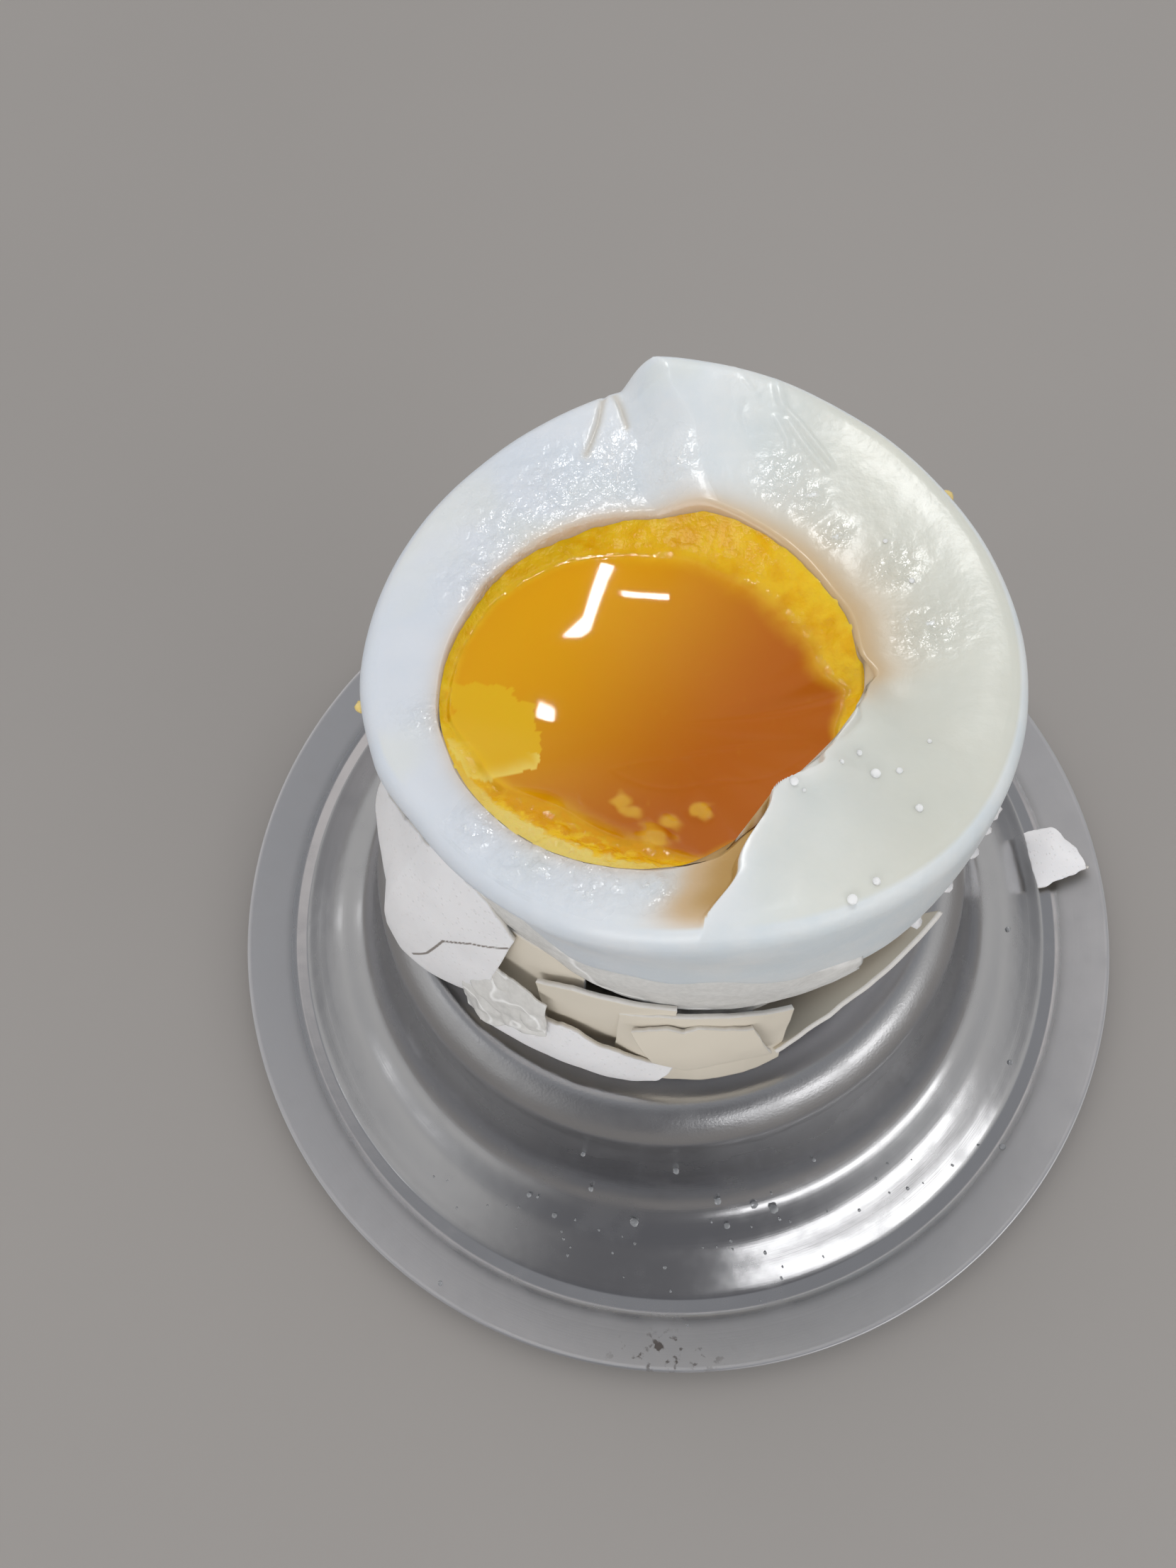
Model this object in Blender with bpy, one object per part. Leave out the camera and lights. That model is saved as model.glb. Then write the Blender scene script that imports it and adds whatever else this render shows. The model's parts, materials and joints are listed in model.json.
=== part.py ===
"""Soft-boiled egg, opened and half peeled, standing in a pressed steel egg cup.

The egg leans back in the cup's bowl on what is left of its shell.  Its top is cut
off in two strokes, so the white has a low side and a high side with a step between
them, and the yolk lies in the hollow.  Loose pieces of shell stand in the gap
between the egg and the cup's lip, and one flake lies on the saucer.

Frame: origin at the centre of the saucer on the table, +Z up, -Y the near side.
Lengths below are millimetres; MM turns them into Blender's metres.
"""
import math

import bpy
import bmesh
from mathutils import Euler, Vector

MM = 0.001

# Cup ------------------------------------------------------------------------
CUP_RADIUS = 41.5
SHEET = 0.7
RIM_HEIGHT = 2.5
TROUGH_HEIGHT = SHEET + 0.05
LIP_RADIUS = 22.0
LIP_HEIGHT = 21.0
BOWL_FLOOR = 7.4
CUP_SEGMENTS = 48

# Egg ------------------------------------------------------------------------
EGG_RADIUS = 22.3
EGG_ABOVE = 26.0
EGG_BELOW = 32.0
TAPER = 0.12
EGG_CENTRE = (1.4, 4.7, 40.3)
LEAN_BACK = 10.0
LEAN_RIGHT = 2.0
EGG_SEGMENTS = 60

YOLK_CENTRE = (-2.0, -3.5)
YOLK_RADIUS = 14.0
YOLK_DEPTH = 12.0
YOLK_SAG = 2.2
BRIM = 0.9
GAP = 0.3

# Shell ----------------------------------------------------------------------
SHELL = 0.38
MEMBRANE = 0.25
PATCH_ROWS = 4


def lerp(a, b, t):
    return a + (b - a) * t


def smoothstep(low, high, value):
    t = min(max((value - low) / (high - low), 0.0), 1.0)
    return t * t * (3.0 - 2.0 * t)


def along(points, value):
    """Read a list of (position, height) points at a position, between its ends."""
    if value <= points[0][0]:
        return points[0][1]
    for (x0, y0), (x1, y1) in zip(points, points[1:]):
        if value <= x1:
            return lerp(y0, y1, smoothstep(x0, x1, value))
    return points[-1][1]


def around(points, degrees):
    """Read a list of (azimuth, value) points, in degrees from -180, on a full turn."""
    turn = (degrees + 180.0) % 360.0 - 180.0
    return along(points + [(points[0][0] + 360.0, points[0][1])], turn)


# Meshes -----------------------------------------------------------------------

def material(name, colour, roughness, metallic=0.0):
    made = bpy.data.materials.get(name)
    if made is None:
        made = bpy.data.materials.new(name)
        made.use_nodes = True
        shader = made.node_tree.nodes["Principled BSDF"]
        shader.inputs["Base Color"].default_value = (*colour, 1.0)
        shader.inputs["Roughness"].default_value = roughness
        shader.inputs["Metallic"].default_value = metallic
    return made


def make_object(name, bm, finish, smooth_angle=40.0):
    """Turn a bmesh in millimetres into a closed, outward-facing object."""
    bmesh.ops.scale(bm, vec=(MM, MM, MM), verts=bm.verts)
    bmesh.ops.recalc_face_normals(bm, faces=bm.faces)
    mesh = bpy.data.meshes.new(name)
    bm.to_mesh(mesh)
    bm.free()
    mesh.shade_smooth()
    mesh.set_sharp_from_angle(angle=math.radians(smooth_angle))
    mesh.materials.append(finish)
    made = bpy.data.objects.new(name, mesh)
    bpy.context.scene.collection.objects.link(made)
    return made


def skin_rings(first, rings, last):
    """Skin a stack of equal rings into a closed body with a pole at each end."""
    bm = bmesh.new()
    loops = [[bm.verts.new(p) for p in ring] for ring in rings]
    count = len(loops[0])
    for low, high in zip(loops, loops[1:]):
        for k in range(count):
            n = (k + 1) % count
            bm.faces.new((low[k], low[n], high[n], high[k]))
    for pole, loop in ((bm.verts.new(first), loops[0]), (bm.verts.new(last), loops[-1])):
        for k in range(count):
            bm.faces.new((pole, loop[k], loop[(k + 1) % count]))
    return bm


def skin_sheet(grid, thickness):
    """Give a grid of points a thickness, half to each side, as one closed body."""
    rows, columns = len(grid), len(grid[0])
    bm = bmesh.new()
    sides = ([], [])
    for r in range(rows):
        for side in sides:
            side.append([])
        for c in range(columns):
            across = grid[r][min(c + 1, columns - 1)] - grid[r][max(c - 1, 0)]
            up = grid[min(r + 1, rows - 1)][c] - grid[max(r - 1, 0)][c]
            normal = across.cross(up).normalized()
            for side, sign in zip(sides, (0.5, -0.5)):
                side[r].append(bm.verts.new(grid[r][c] + normal * (sign * thickness)))
    for side in sides:
        for r in range(rows - 1):
            for c in range(columns - 1):
                bm.faces.new((side[r][c], side[r][c + 1], side[r + 1][c + 1], side[r + 1][c]))
    front, back = sides
    edge = [(0, c) for c in range(columns)]
    edge += [(r, columns - 1) for r in range(1, rows)]
    edge += [(rows - 1, c) for c in range(columns - 2, -1, -1)]
    edge += [(r, 0) for r in range(rows - 2, 0, -1)]
    for (r0, c0), (r1, c1) in zip(edge, edge[1:] + edge[:1]):
        bm.faces.new((front[r0][c0], front[r1][c1], back[r1][c1], back[r0][c0]))
    return bm


# Cup --------------------------------------------------------------------------

def smooth_curve(points, steps):
    """A Catmull-Rom curve through the points."""
    ends = [2 * Vector(points[0]) - Vector(points[1])]
    ends += [Vector(p) for p in points]
    ends += [2 * Vector(points[-1]) - Vector(points[-2])]
    curve = []
    for a, b, c, d in zip(ends, ends[1:], ends[2:], ends[3:]):
        for k in range(steps):
            t = k / steps
            curve.append(0.5 * (2 * b + (c - a) * t + (2 * a - 5 * b + 4 * c - d) * t ** 2
                                + (3 * b - a - 3 * c + d) * t ** 3))
    curve.append(Vector(points[-1]))
    return curve


def make_cup():
    """One pressed sheet: bowl, rolled lip, flared neck, trough and flat rim."""
    bowl = [(0.0, BOWL_FLOOR), (8.5, BOWL_FLOOR + 0.9), (14.6, BOWL_FLOOR + 4.2),
            (18.2, BOWL_FLOOR + 8.6), (20.0, LIP_HEIGHT - 1.9)]
    lip = [(LIP_RADIUS, LIP_HEIGHT), (LIP_RADIUS + 2.5, LIP_HEIGHT - 2.2)]
    neck = [(LIP_RADIUS + 3.0, 14.4), (LIP_RADIUS + 4.8, 8.6), (LIP_RADIUS + 7.0, 5.2)]
    crease = [(32.0, 3.5)]
    trough = [(34.4, 1.75), (36.0, TROUGH_HEIGHT), (37.0, TROUGH_HEIGHT)]
    rim = [(38.4, 1.3), (CUP_RADIUS, RIM_HEIGHT)]
    top = smooth_curve(bowl + lip + neck + crease + trough + rim, 2)
    top = [Vector((p.x, max(p.y, TROUGH_HEIGHT))) for p in top]
    under = []
    for before, here, after in zip(top, top[1:], top[2:] + [top[-1]]):
        along_sheet = (after - before).normalized()
        point = here + Vector((along_sheet.y, -along_sheet.x)) * SHEET
        standing = here.y < TROUGH_HEIGHT + 0.3
        height = 0.0 if standing else max(point.y, 0.0)
        under.append(Vector((min(point.x, CUP_RADIUS), height)))
    profile = top[1:] + under[::-1]
    turn = [2.0 * math.pi * k / CUP_SEGMENTS for k in range(CUP_SEGMENTS)]
    rings = [[Vector((p.x * math.cos(a), p.x * math.sin(a), p.y)) for a in turn] for p in profile]
    floor_top = Vector((0.0, 0.0, BOWL_FLOOR))
    floor_under = Vector((0.0, 0.0, BOWL_FLOOR - SHEET))
    bm = skin_rings(floor_top, rings, floor_under)
    return make_object("egg_cup", bm, material("steel", (0.62, 0.62, 0.63), 0.25, 1.0))


# Egg --------------------------------------------------------------------------

def egg_radius(height, grow=0.0):
    """Radius of the egg at a height above its widest ring, grown outward by grow."""
    if height > 0.0:
        share = height / (EGG_ABOVE + grow)
        narrowing = 1.0
    else:
        share = height / (EGG_BELOW + grow)
        narrowing = 1.0 - TAPER * share * share
    return (EGG_RADIUS + grow) * math.sqrt(max(1.0 - share * share, 0.0)) * narrowing


# Where the step between the two cuts crosses each distance back (y, x).
STEP_LINE = [(-24.0, -0.8), (-21.4, 0.3), (-18.0, 2.3), (-13.3, 4.4), (-10.5, 7.8),
             (-6.6, 10.5), (8.0, 3.0), (16.0, 0.9), (19.2, -1.0), (22.0, -3.0)]
STEP_WIDTH = 0.8
# How far each cut dips from the rim to the yolk, by azimuth.
LOW_DISH = [(-180.0, 1.0), (-120.0, 1.4), (-90.0, 2.4), (-45.0, 2.4), (90.0, 3.0), (135.0, 1.5)]
HIGH_DISH = [(-90.0, 0.3), (-60.0, 0.5), (-40.0, 1.5), (-15.0, 2.8), (45.0, 3.6), (90.0, 3.2)]
DISH_WIDTH = 8.5


def cut_height(x, y):
    """Height of the cut across the egg: two dished planes that meet in a step."""
    azimuth = math.degrees(math.atan2(y, x))
    inward = min(max((EGG_RADIUS - math.hypot(x, y)) / DISH_WIDTH, 0.0), 1.0) ** 1.5
    low_side = 5.8 + 0.205 * x + 0.077 * y - around(LOW_DISH, azimuth) * inward
    high_side = 7.5 - 0.19 * x + 0.105 * y - around(HIGH_DISH, azimuth) * inward
    past_step = x - along(STEP_LINE, y)
    return lerp(low_side, high_side, smoothstep(-STEP_WIDTH, STEP_WIDTH, past_step))


def rim_point(azimuth):
    """Where the cut meets the outside of the egg."""
    x = y = height = 0.0
    for _ in range(6):
        radius = egg_radius(height)
        x = radius * math.cos(azimuth)
        y = radius * math.sin(azimuth)
        height = cut_height(x, y)
    return Vector((x, y, height))


def yolk_side(azimuth, height, inset=0.0):
    """A point of the hollow's side; a tongue of white cuts into its near right."""
    degrees = math.degrees(azimuth)
    notch = 2.1 * smoothstep(35.0, 10.0, abs((degrees + 38.0 + 180.0) % 360.0 - 180.0))
    radius = YOLK_RADIUS - notch - inset
    x = YOLK_CENTRE[0] + radius * math.cos(azimuth)
    y = YOLK_CENTRE[1] + radius * math.sin(azimuth)
    return Vector((x, y, height))


def bowl_rings(brim, floor, inset, drops):
    """Rings of a round-bottomed bowl below the brim, drops in degrees."""
    centre = Vector((*YOLK_CENTRE, 0.0))
    rings = []
    for drop in drops:
        angle = math.radians(drop)
        ring = []
        for a in egg_turn():
            out = yolk_side(a, 0.0, inset) - centre
            point = centre + out * math.cos(angle)
            point.z = brim + (floor - brim) * math.sin(angle)
            ring.append(point)
        rings.append(ring)
    return rings


def egg_turn():
    return [2.0 * math.pi * k / EGG_SEGMENTS for k in range(EGG_SEGMENTS)]


def make_white():
    """The set white: rounded outside, torn two-level top and the yolk's hollow."""
    rims = [rim_point(a) for a in egg_turn()]
    edges = [yolk_side(a, 0.0) for a in egg_turn()]
    rings = []
    outside_steps = 9
    for step in range(1, outside_steps + 1):
        share = 1.0 - math.cos(0.5 * math.pi * step / outside_steps)
        ring = []
        for a, rim in zip(egg_turn(), rims):
            height = lerp(-EGG_BELOW, rim.z, share)
            radius = egg_radius(height)
            ring.append(Vector((radius * math.cos(a), radius * math.sin(a), height)))
        rings.append(ring)
    for share in (0.14, 0.45, 0.75, 1.0):
        ring = []
        for rim, edge in zip(rims, edges):
            x = lerp(rim.x, edge.x, share)
            y = lerp(rim.y, edge.y, share)
            ring.append(Vector((x, y, cut_height(x, y))))
        rings.append(ring)
    rings += bowl_rings(BRIM, BRIM - YOLK_DEPTH, 0.0, (0.0, 20.0, 40.0, 60.0, 78.0))
    floor = Vector((*YOLK_CENTRE, BRIM - YOLK_DEPTH))
    bm = skin_rings(Vector((0.0, 0.0, -EGG_BELOW)), rings, floor)
    return make_object("egg_white", bm, material("white", (0.88, 0.90, 0.88), 0.25))


def make_yolk():
    """The yolk: a set wall up to the cut, and a liquid surface that sags inside it."""
    inset = GAP + 0.05
    brim = BRIM - GAP
    tops = []
    for share in (0.3, 0.55, 0.76, 0.92):
        level = brim - YOLK_SAG * (1.0 - share ** 2.4)
        ring = []
        for a in egg_turn():
            edge = yolk_side(a, level, inset)
            ring.append(Vector((lerp(YOLK_CENTRE[0], edge.x, share),
                                lerp(YOLK_CENTRE[1], edge.y, share), level)))
        tops.append(ring)
    wall = []
    for a in egg_turn():
        edge = yolk_side(a, 0.0, inset)
        edge.z = cut_height(edge.x, edge.y) - GAP
        wall.append(edge)
    floor = BRIM - YOLK_DEPTH + GAP + 0.1
    rings = tops + [wall] + bowl_rings(brim, floor, inset, (0.0, 20.0, 40.0, 60.0, 78.0))
    first = Vector((*YOLK_CENTRE, brim - YOLK_SAG))
    bm = skin_rings(first, rings, Vector((*YOLK_CENTRE, floor)))
    return make_object("egg_yolk", bm, material("yolk", (0.86, 0.50, 0.03), 0.1))


# Shell ------------------------------------------------------------------------

# Broken edge of the shell that is still on the egg: (azimuth, height) in the egg's frame.
BASE_EDGE = [(-180.0, -13.0), (-165.0, -17.5), (-140.0, -20.5), (-115.0, -19.0), (-90.0, -21.0),
             (-60.0, -18.5), (-35.0, -14.0), (-20.0, -10.0), (-5.0, -8.5), (12.0, -10.5),
             (30.0, -7.5), (52.0, -9.5), (70.0, -6.8), (92.0, -8.6), (110.0, -6.4),
             (128.0, -9.4), (146.0, -8.0), (163.0, -11.5)]


def make_shell_base():
    """The bottom half of the shell, still round the egg, with a broken edge."""
    inner, outer = GAP, GAP + SHELL
    rings = []
    steps = 7
    tops = [around(BASE_EDGE, math.degrees(a)) for a in egg_turn()]
    shares = [1.0 - math.cos(0.5 * math.pi * k / steps) for k in range(1, steps + 1)]
    for grow, order in ((outer, shares), (inner, shares[::-1])):
        for share in order:
            ring = []
            for a, top in zip(egg_turn(), tops):
                height = lerp(-EGG_BELOW - grow, top, share)
                radius = egg_radius(height, grow)
                ring.append(Vector((radius * math.cos(a), radius * math.sin(a), height)))
            rings.append(ring)
    bottom = Vector((0.0, 0.0, -EGG_BELOW - outer))
    inside = Vector((0.0, 0.0, -EGG_BELOW - inner))
    bm = skin_rings(bottom, rings, inside)
    return make_object("shell_base", bm, shell_finish(), 60.0)


def shell_finish():
    return material("shell", (0.84, 0.81, 0.78), 0.55)


def egg_rotation():
    return Euler((math.radians(-LEAN_BACK), math.radians(LEAN_RIGHT), 0.0)).to_matrix()


def egg_skin(azimuth, height):
    """Distance from the cup's axis to the leaning egg's side, level at a height."""
    to_egg = egg_rotation().transposed()
    centre = Vector(EGG_CENTRE)
    near, far = 0.0, 2.0 * EGG_RADIUS
    for _ in range(30):
        middle = 0.5 * (near + far)
        point = Vector((middle * math.cos(azimuth), middle * math.sin(azimuth), height))
        local = to_egg @ (point - centre)
        if math.hypot(local.x, local.y) < egg_radius(local.z):
            near = middle
        else:
            far = middle
    return near


def beside_egg(azimuth_degrees, height, lift):
    """A point outside the egg's side by lift, level at a height above the table."""
    azimuth = math.radians(azimuth_degrees)
    radius = egg_skin(azimuth, height) + lift
    return Vector((radius * math.cos(azimuth), radius * math.sin(azimuth), height))


def make_fragment(name, upper, lower, bulge, finish, thickness=SHELL):
    """A curved piece of shell between an upper and a lower broken edge.

    Each edge is a list of (azimuth, height, lift) points beside the egg.
    """
    grid = []
    for row in range(PATCH_ROWS + 1):
        share = row / PATCH_ROWS
        swell = bulge * 4.0 * share * (1.0 - share)
        line = []
        for low, high in zip(lower, upper):
            azimuth, height, lift = (lerp(a, b, share) for a, b in zip(low, high))
            line.append(beside_egg(azimuth, height, lift + swell))
        grid.append(line)
    return make_object(name, skin_sheet(grid, thickness), finish, 60.0)


def make_fragments():
    """The loose pieces that stand in the gap between the egg and the lip."""
    outside = shell_finish()
    inside = material("shell_inside", (0.74, 0.68, 0.57), 0.6)
    skin = material("membrane", (0.80, 0.76, 0.70), 0.3)
    make_fragment(
        "shell_plate_left",
        [(-174, 33.0, 1.5), (-168, 33.6, 1.3), (-162, 34.0, 1.1), (-156, 34.0, 1.0),
         (-150, 34.2, 1.0), (-144, 34.0, 1.0), (-138, 33.6, 1.0), (-133, 32.6, 1.1)],
        [(-173, 28.4, 3.2), (-168, 26.0, 4.4), (-162, 24.0, 5.7), (-159, 22.2, 8.0),
         (-154, 22.2, 7.8), (-149, 22.2, 6.8), (-145, 22.6, 6.0), (-139, 24.0, 4.1)],
        0.4, outside)
    make_fragment(
        "shell_wall_left",
        [(-139, 22.6, 4.0), (-134, 22.2, 4.4), (-127, 21.6, 4.2), (-119, 21.4, 3.8)],
        [(-137, 19.4, 1.3), (-131, 18.8, 1.3), (-125, 18.8, 1.3), (-119, 18.8, 1.3)],
        -0.3, inside)
    make_fragment(
        "shell_wall_middle",
        [(-117, 21.6, 3.8), (-111, 21.8, 3.6), (-105, 21.6, 3.7), (-100, 21.2, 3.6)],
        [(-117, 18.8, 1.3), (-111, 18.6, 1.3), (-105, 18.8, 1.3), (-100, 18.8, 1.3)],
        -0.3, inside)
    make_fragment(
        "shell_plate_front",
        [(-131, 23.8, 5.4), (-126, 25.8, 3.4), (-119, 26.8, 2.2), (-112, 26.6, 2.0),
         (-104, 26.2, 1.8), (-96, 25.6, 1.8), (-89, 24.8, 2.2)],
        [(-132, 21.9, 6.3), (-125, 21.5, 6.1), (-117, 21.4, 5.8), (-109, 21.5, 5.8),
         (-103, 21.5, 5.8), (-98, 21.5, 5.8), (-95, 22.6, 4.4)],
        0.3, outside)
    make_fragment(
        "shell_wall_front",
        [(-95, 20.8, 4.6), (-88, 21.2, 5.2), (-80, 21.2, 5.0), (-73, 21.2, 4.8), (-67, 21.2, 4.5)],
        [(-97, 17.6, 1.4), (-90, 17.4, 1.4), (-82, 17.4, 1.4), (-75, 17.6, 1.4), (-69, 18.0, 1.4)],
        -0.3, inside)
    make_fragment(
        "shell_shard_front",
        [(-97, 30.6, 1.1), (-90, 31.2, 1.0), (-82, 31.0, 1.0), (-74, 30.6, 1.1)],
        [(-94, 24.0, 1.1), (-88, 23.4, 1.4), (-81, 24.2, 1.2), (-75, 23.6, 1.5)],
        0.2, inside)
    make_fragment(
        "shell_strip_right",
        [(-65, 23.4, 3.2), (-58, 24.4, 1.9), (-51, 25.4, 1.4), (-43, 26.2, 1.3),
         (-35, 27.2, 1.3), (-28, 28.2, 1.5)],
        [(-64, 21.6, 1.4), (-57, 21.4, 1.2), (-50, 22.0, 1.1), (-43, 23.0, 1.1),
         (-35, 24.6, 1.1), (-29, 26.6, 1.2)],
        0.1, inside)
    make_fragment(
        "shell_membrane",
        [(-135, 29.4, 3.0), (-129, 30.4, 2.2), (-122, 31.2, 1.5)],
        [(-134, 26.0, 4.6), (-128, 27.2, 3.6), (-121, 28.4, 2.4)],
        0.2, skin, MEMBRANE)


# Corners of the flake on the saucer, counter-clockwise from above.
FLAKE_CORNERS = ((35.5, 0.6, 2.0), (40.0, 2.2, 3.6), (37.4, 6.4, 2.8), (34.9, 6.1, 2.0))
FLAKE_SWELL = 0.5


def make_flake():
    """The four-cornered flake of shell that fell on the saucer, hollow side down."""
    a, b, c, d = (Vector(p) for p in FLAKE_CORNERS)
    grid = []
    for row in range(PATCH_ROWS + 1):
        v = row / PATCH_ROWS
        line = []
        for column in range(PATCH_ROWS + 1):
            u = column / PATCH_ROWS
            point = lerp(lerp(a, b, u), lerp(d, c, u), v)
            point.z += FLAKE_SWELL * 16.0 * u * (1.0 - u) * v * (1.0 - v)
            line.append(point)
        grid.append(line)
    return make_object("shell_flake", skin_sheet(grid, SHELL), shell_finish(), 60.0)


def main():
    for old in list(bpy.data.objects):
        bpy.data.objects.remove(old)
    make_cup()
    seat = bpy.data.objects.new("egg_seat", None)
    bpy.context.scene.collection.objects.link(seat)
    seat.location = Vector(EGG_CENTRE) * MM
    seat.rotation_euler = egg_rotation().to_euler()
    for piece in (make_white(), make_yolk(), make_shell_base()):
        piece.parent = seat
    make_fragments()
    make_flake()
    bpy.context.view_layer.update()


main()
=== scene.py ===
"""Looks of a soft-boiled egg in its steel egg cup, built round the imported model."""
import json
import math

import bpy
import numpy as np
from bpy.props import FloatProperty, FloatVectorProperty, PointerProperty
from bpy.types import Operator, Panel, PropertyGroup
from mathutils import Euler, Matrix, Vector

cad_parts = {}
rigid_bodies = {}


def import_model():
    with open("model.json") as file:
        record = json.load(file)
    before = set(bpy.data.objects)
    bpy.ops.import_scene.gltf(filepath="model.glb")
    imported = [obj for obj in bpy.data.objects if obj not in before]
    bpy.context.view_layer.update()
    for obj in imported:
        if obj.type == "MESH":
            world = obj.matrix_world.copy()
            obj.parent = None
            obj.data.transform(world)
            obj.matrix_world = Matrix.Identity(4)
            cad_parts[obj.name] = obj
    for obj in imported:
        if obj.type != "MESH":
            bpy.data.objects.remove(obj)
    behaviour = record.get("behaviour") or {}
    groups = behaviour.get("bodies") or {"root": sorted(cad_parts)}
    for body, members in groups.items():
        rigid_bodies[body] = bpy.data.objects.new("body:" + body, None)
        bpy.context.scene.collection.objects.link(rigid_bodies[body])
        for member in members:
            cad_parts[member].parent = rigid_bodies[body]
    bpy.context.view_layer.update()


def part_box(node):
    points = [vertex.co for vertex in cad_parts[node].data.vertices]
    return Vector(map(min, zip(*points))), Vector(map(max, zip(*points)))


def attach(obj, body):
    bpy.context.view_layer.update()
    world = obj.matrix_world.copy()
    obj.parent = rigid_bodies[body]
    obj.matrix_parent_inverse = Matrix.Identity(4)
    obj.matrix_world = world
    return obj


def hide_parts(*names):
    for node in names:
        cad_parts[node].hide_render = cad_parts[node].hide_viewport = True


bl_info = {
    "name": "Egg in a Cup",
    "version": (1, 0, 0),
    "blender": (4, 5, 0),
    "location": "View3D > Sidebar > Egg",
    "description": "Builds a half-peeled soft-boiled egg in a pressed steel egg cup",
    "category": "Add Mesh",
}

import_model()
CUP_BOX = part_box("egg_cup")
MM = 0.001
BODY = "root"

# Columns of faces round the white and the yolk, the cup and the shell.
EGG_COLUMNS = 720
CUP_COLUMNS = 320
SHELL_COLUMNS = 420
# Rings of faces up the white's side, round its rim and over its top; on the yolk; on the shell.
SIDE_RINGS = 40
RIM_RINGS = 8
TOP_RINGS = 120
YOLK_RINGS = 130
SHELL_RINGS = 48
# Rows and columns of a broken piece, along each side of the flake, and of a grain.
FRAGMENT_ROWS = 56
FRAGMENT_COLUMNS = 140
FLAKE_ROWS = 56
GRAIN_RINGS = 7
GRAIN_COLUMNS = 12
# Whole numbers that scatter the noise's grid places.
NOISE_PRIMES = np.array([73856093, 19349663, 83492791])
NOISE_MIX = 1274126177

# Numbers ----------------------------------------------------------------------

def lerp(a, b, t):
    return a + (b - a) * t


def smoothstep(low, high, value):
    t = np.clip((value - low) / (high - low), 0.0, 1.0)
    return t * t * (3.0 - 2.0 * t)


def along(points, value):
    """Read (position, height) points at positions, easing between neighbours."""
    places = np.array([p[0] for p in points], float)
    heights = np.array([p[1] for p in points], float)
    value = np.asarray(value, float)
    left = np.clip(np.searchsorted(places, value) - 1, 0, len(places) - 2)
    return lerp(heights[left], heights[left + 1],
                smoothstep(places[left], places[left + 1], value))


def around(points, degrees):
    """Read (azimuth, value) points, in degrees from -180, on a full turn."""
    turn = (np.asarray(degrees, float) + 180.0) % 360.0 - 180.0
    return along(points + [(points[0][0] + 360.0, points[0][1])], turn)


def noise(points, size, seed=0):
    """Smooth value noise in -1..1; size is the width of its features."""
    cell = points / size + seed * 17.31
    base = np.floor(cell).astype(np.int64)
    part = cell - base
    part = part * part * (3.0 - 2.0 * part)
    total = np.zeros(points.shape[:-1])
    for corner in range(8):
        step = np.array([corner & 1, corner >> 1 & 1, corner >> 2 & 1])
        key = ((base + step) * NOISE_PRIMES).sum(-1)
        with np.errstate(over="ignore"):
            key = (key ^ (key >> 13)) * NOISE_MIX
        key = (key ^ (key >> 16)) & 0xFFFF
        share = np.where(step == 1, part, 1.0 - part).prod(-1)
        total += share * (key / 32767.5 - 1.0)
    return total


def fractal(points, size, octaves=3, seed=0):
    """Layers of noise, each half as wide and half as strong as the one before."""
    total = 0.0
    for octave in range(octaves):
        total = total + noise(points, size / 2 ** octave, seed + octave) / 2 ** octave
    return total


def near_line(x, y, line):
    """Distance from points to an open line, and how far along it the nearest place is."""
    best = np.full(np.shape(x), 1e9)
    place = np.zeros(np.shape(x))
    count = len(line) - 1
    for k, (a, b) in enumerate(zip(line, line[1:])):
        run = (b[0] - a[0], b[1] - a[1])
        t = ((x - a[0]) * run[0] + (y - a[1]) * run[1]) / (run[0] ** 2 + run[1] ** 2)
        t = np.clip(t, 0.0, 1.0)
        away = np.hypot(x - a[0] - t * run[0], y - a[1] - t * run[1])
        place = np.where(away < best, (k + t) / count, place)
        best = np.minimum(best, away)
    return best, place


def smooth_curve(points, steps):
    """A Catmull-Rom curve through points, as an array of rows."""
    keys = np.array(points, float)
    keys = np.vstack([2 * keys[0] - keys[1], keys, 2 * keys[-1] - keys[-2]])
    t = (np.arange(steps) / steps)[:, None]
    pieces = []
    for a, b, c, d in zip(keys, keys[1:], keys[2:], keys[3:]):
        pieces.append(0.5 * (2 * b + (c - a) * t + (2 * a - 5 * b + 4 * c - d) * t ** 2
                             + (3 * b - a - 3 * c + d) * t ** 3))
    return np.vstack(pieces + [keys[-2:-1]])


# Meshes -----------------------------------------------------------------------

def closed_faces(rings, columns):
    """Faces of a closed body: quads between rings, and a fan round the pole at each end."""
    ring, column = np.meshgrid(np.arange(rings - 1), np.arange(columns), indexing="ij")
    following = (column + 1) % columns
    low, high = ring * columns, (ring + 1) * columns
    quads = [low + column, low + following, high + following, high + column]
    faces = np.stack(quads, -1).reshape(-1, 4).tolist()
    first_pole, last_pole, start = rings * columns, rings * columns + 1, (rings - 1) * columns
    for k in range(columns):
        following = (k + 1) % columns
        faces.append((first_pole, following, k))
        faces.append((last_pole, start + k, start + following))
    return faces


def add_object(name, points, faces, materials, slots=None):
    """Make a smooth mesh object from points in millimetres."""
    mesh = bpy.data.meshes.new(name)
    mesh.from_pydata((np.asarray(points) * MM).tolist(), [], [tuple(f) for f in faces])
    for finish in materials:
        mesh.materials.append(finish)
    if slots is not None:
        mesh.polygons.foreach_set("material_index", np.asarray(slots, np.int32))
    mesh.shade_smooth()
    mesh.validate()
    made = bpy.data.objects.new(name, mesh)
    bpy.context.scene.collection.objects.link(made)
    return made


def turned_body(name, rings, first, last, materials):
    """A closed body from rings of points and a pole at each end."""
    points = np.vstack([rings.reshape(-1, 3), [first], [last]])
    return add_object(name, points, closed_faces(*rings.shape[:2]), materials)


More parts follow.
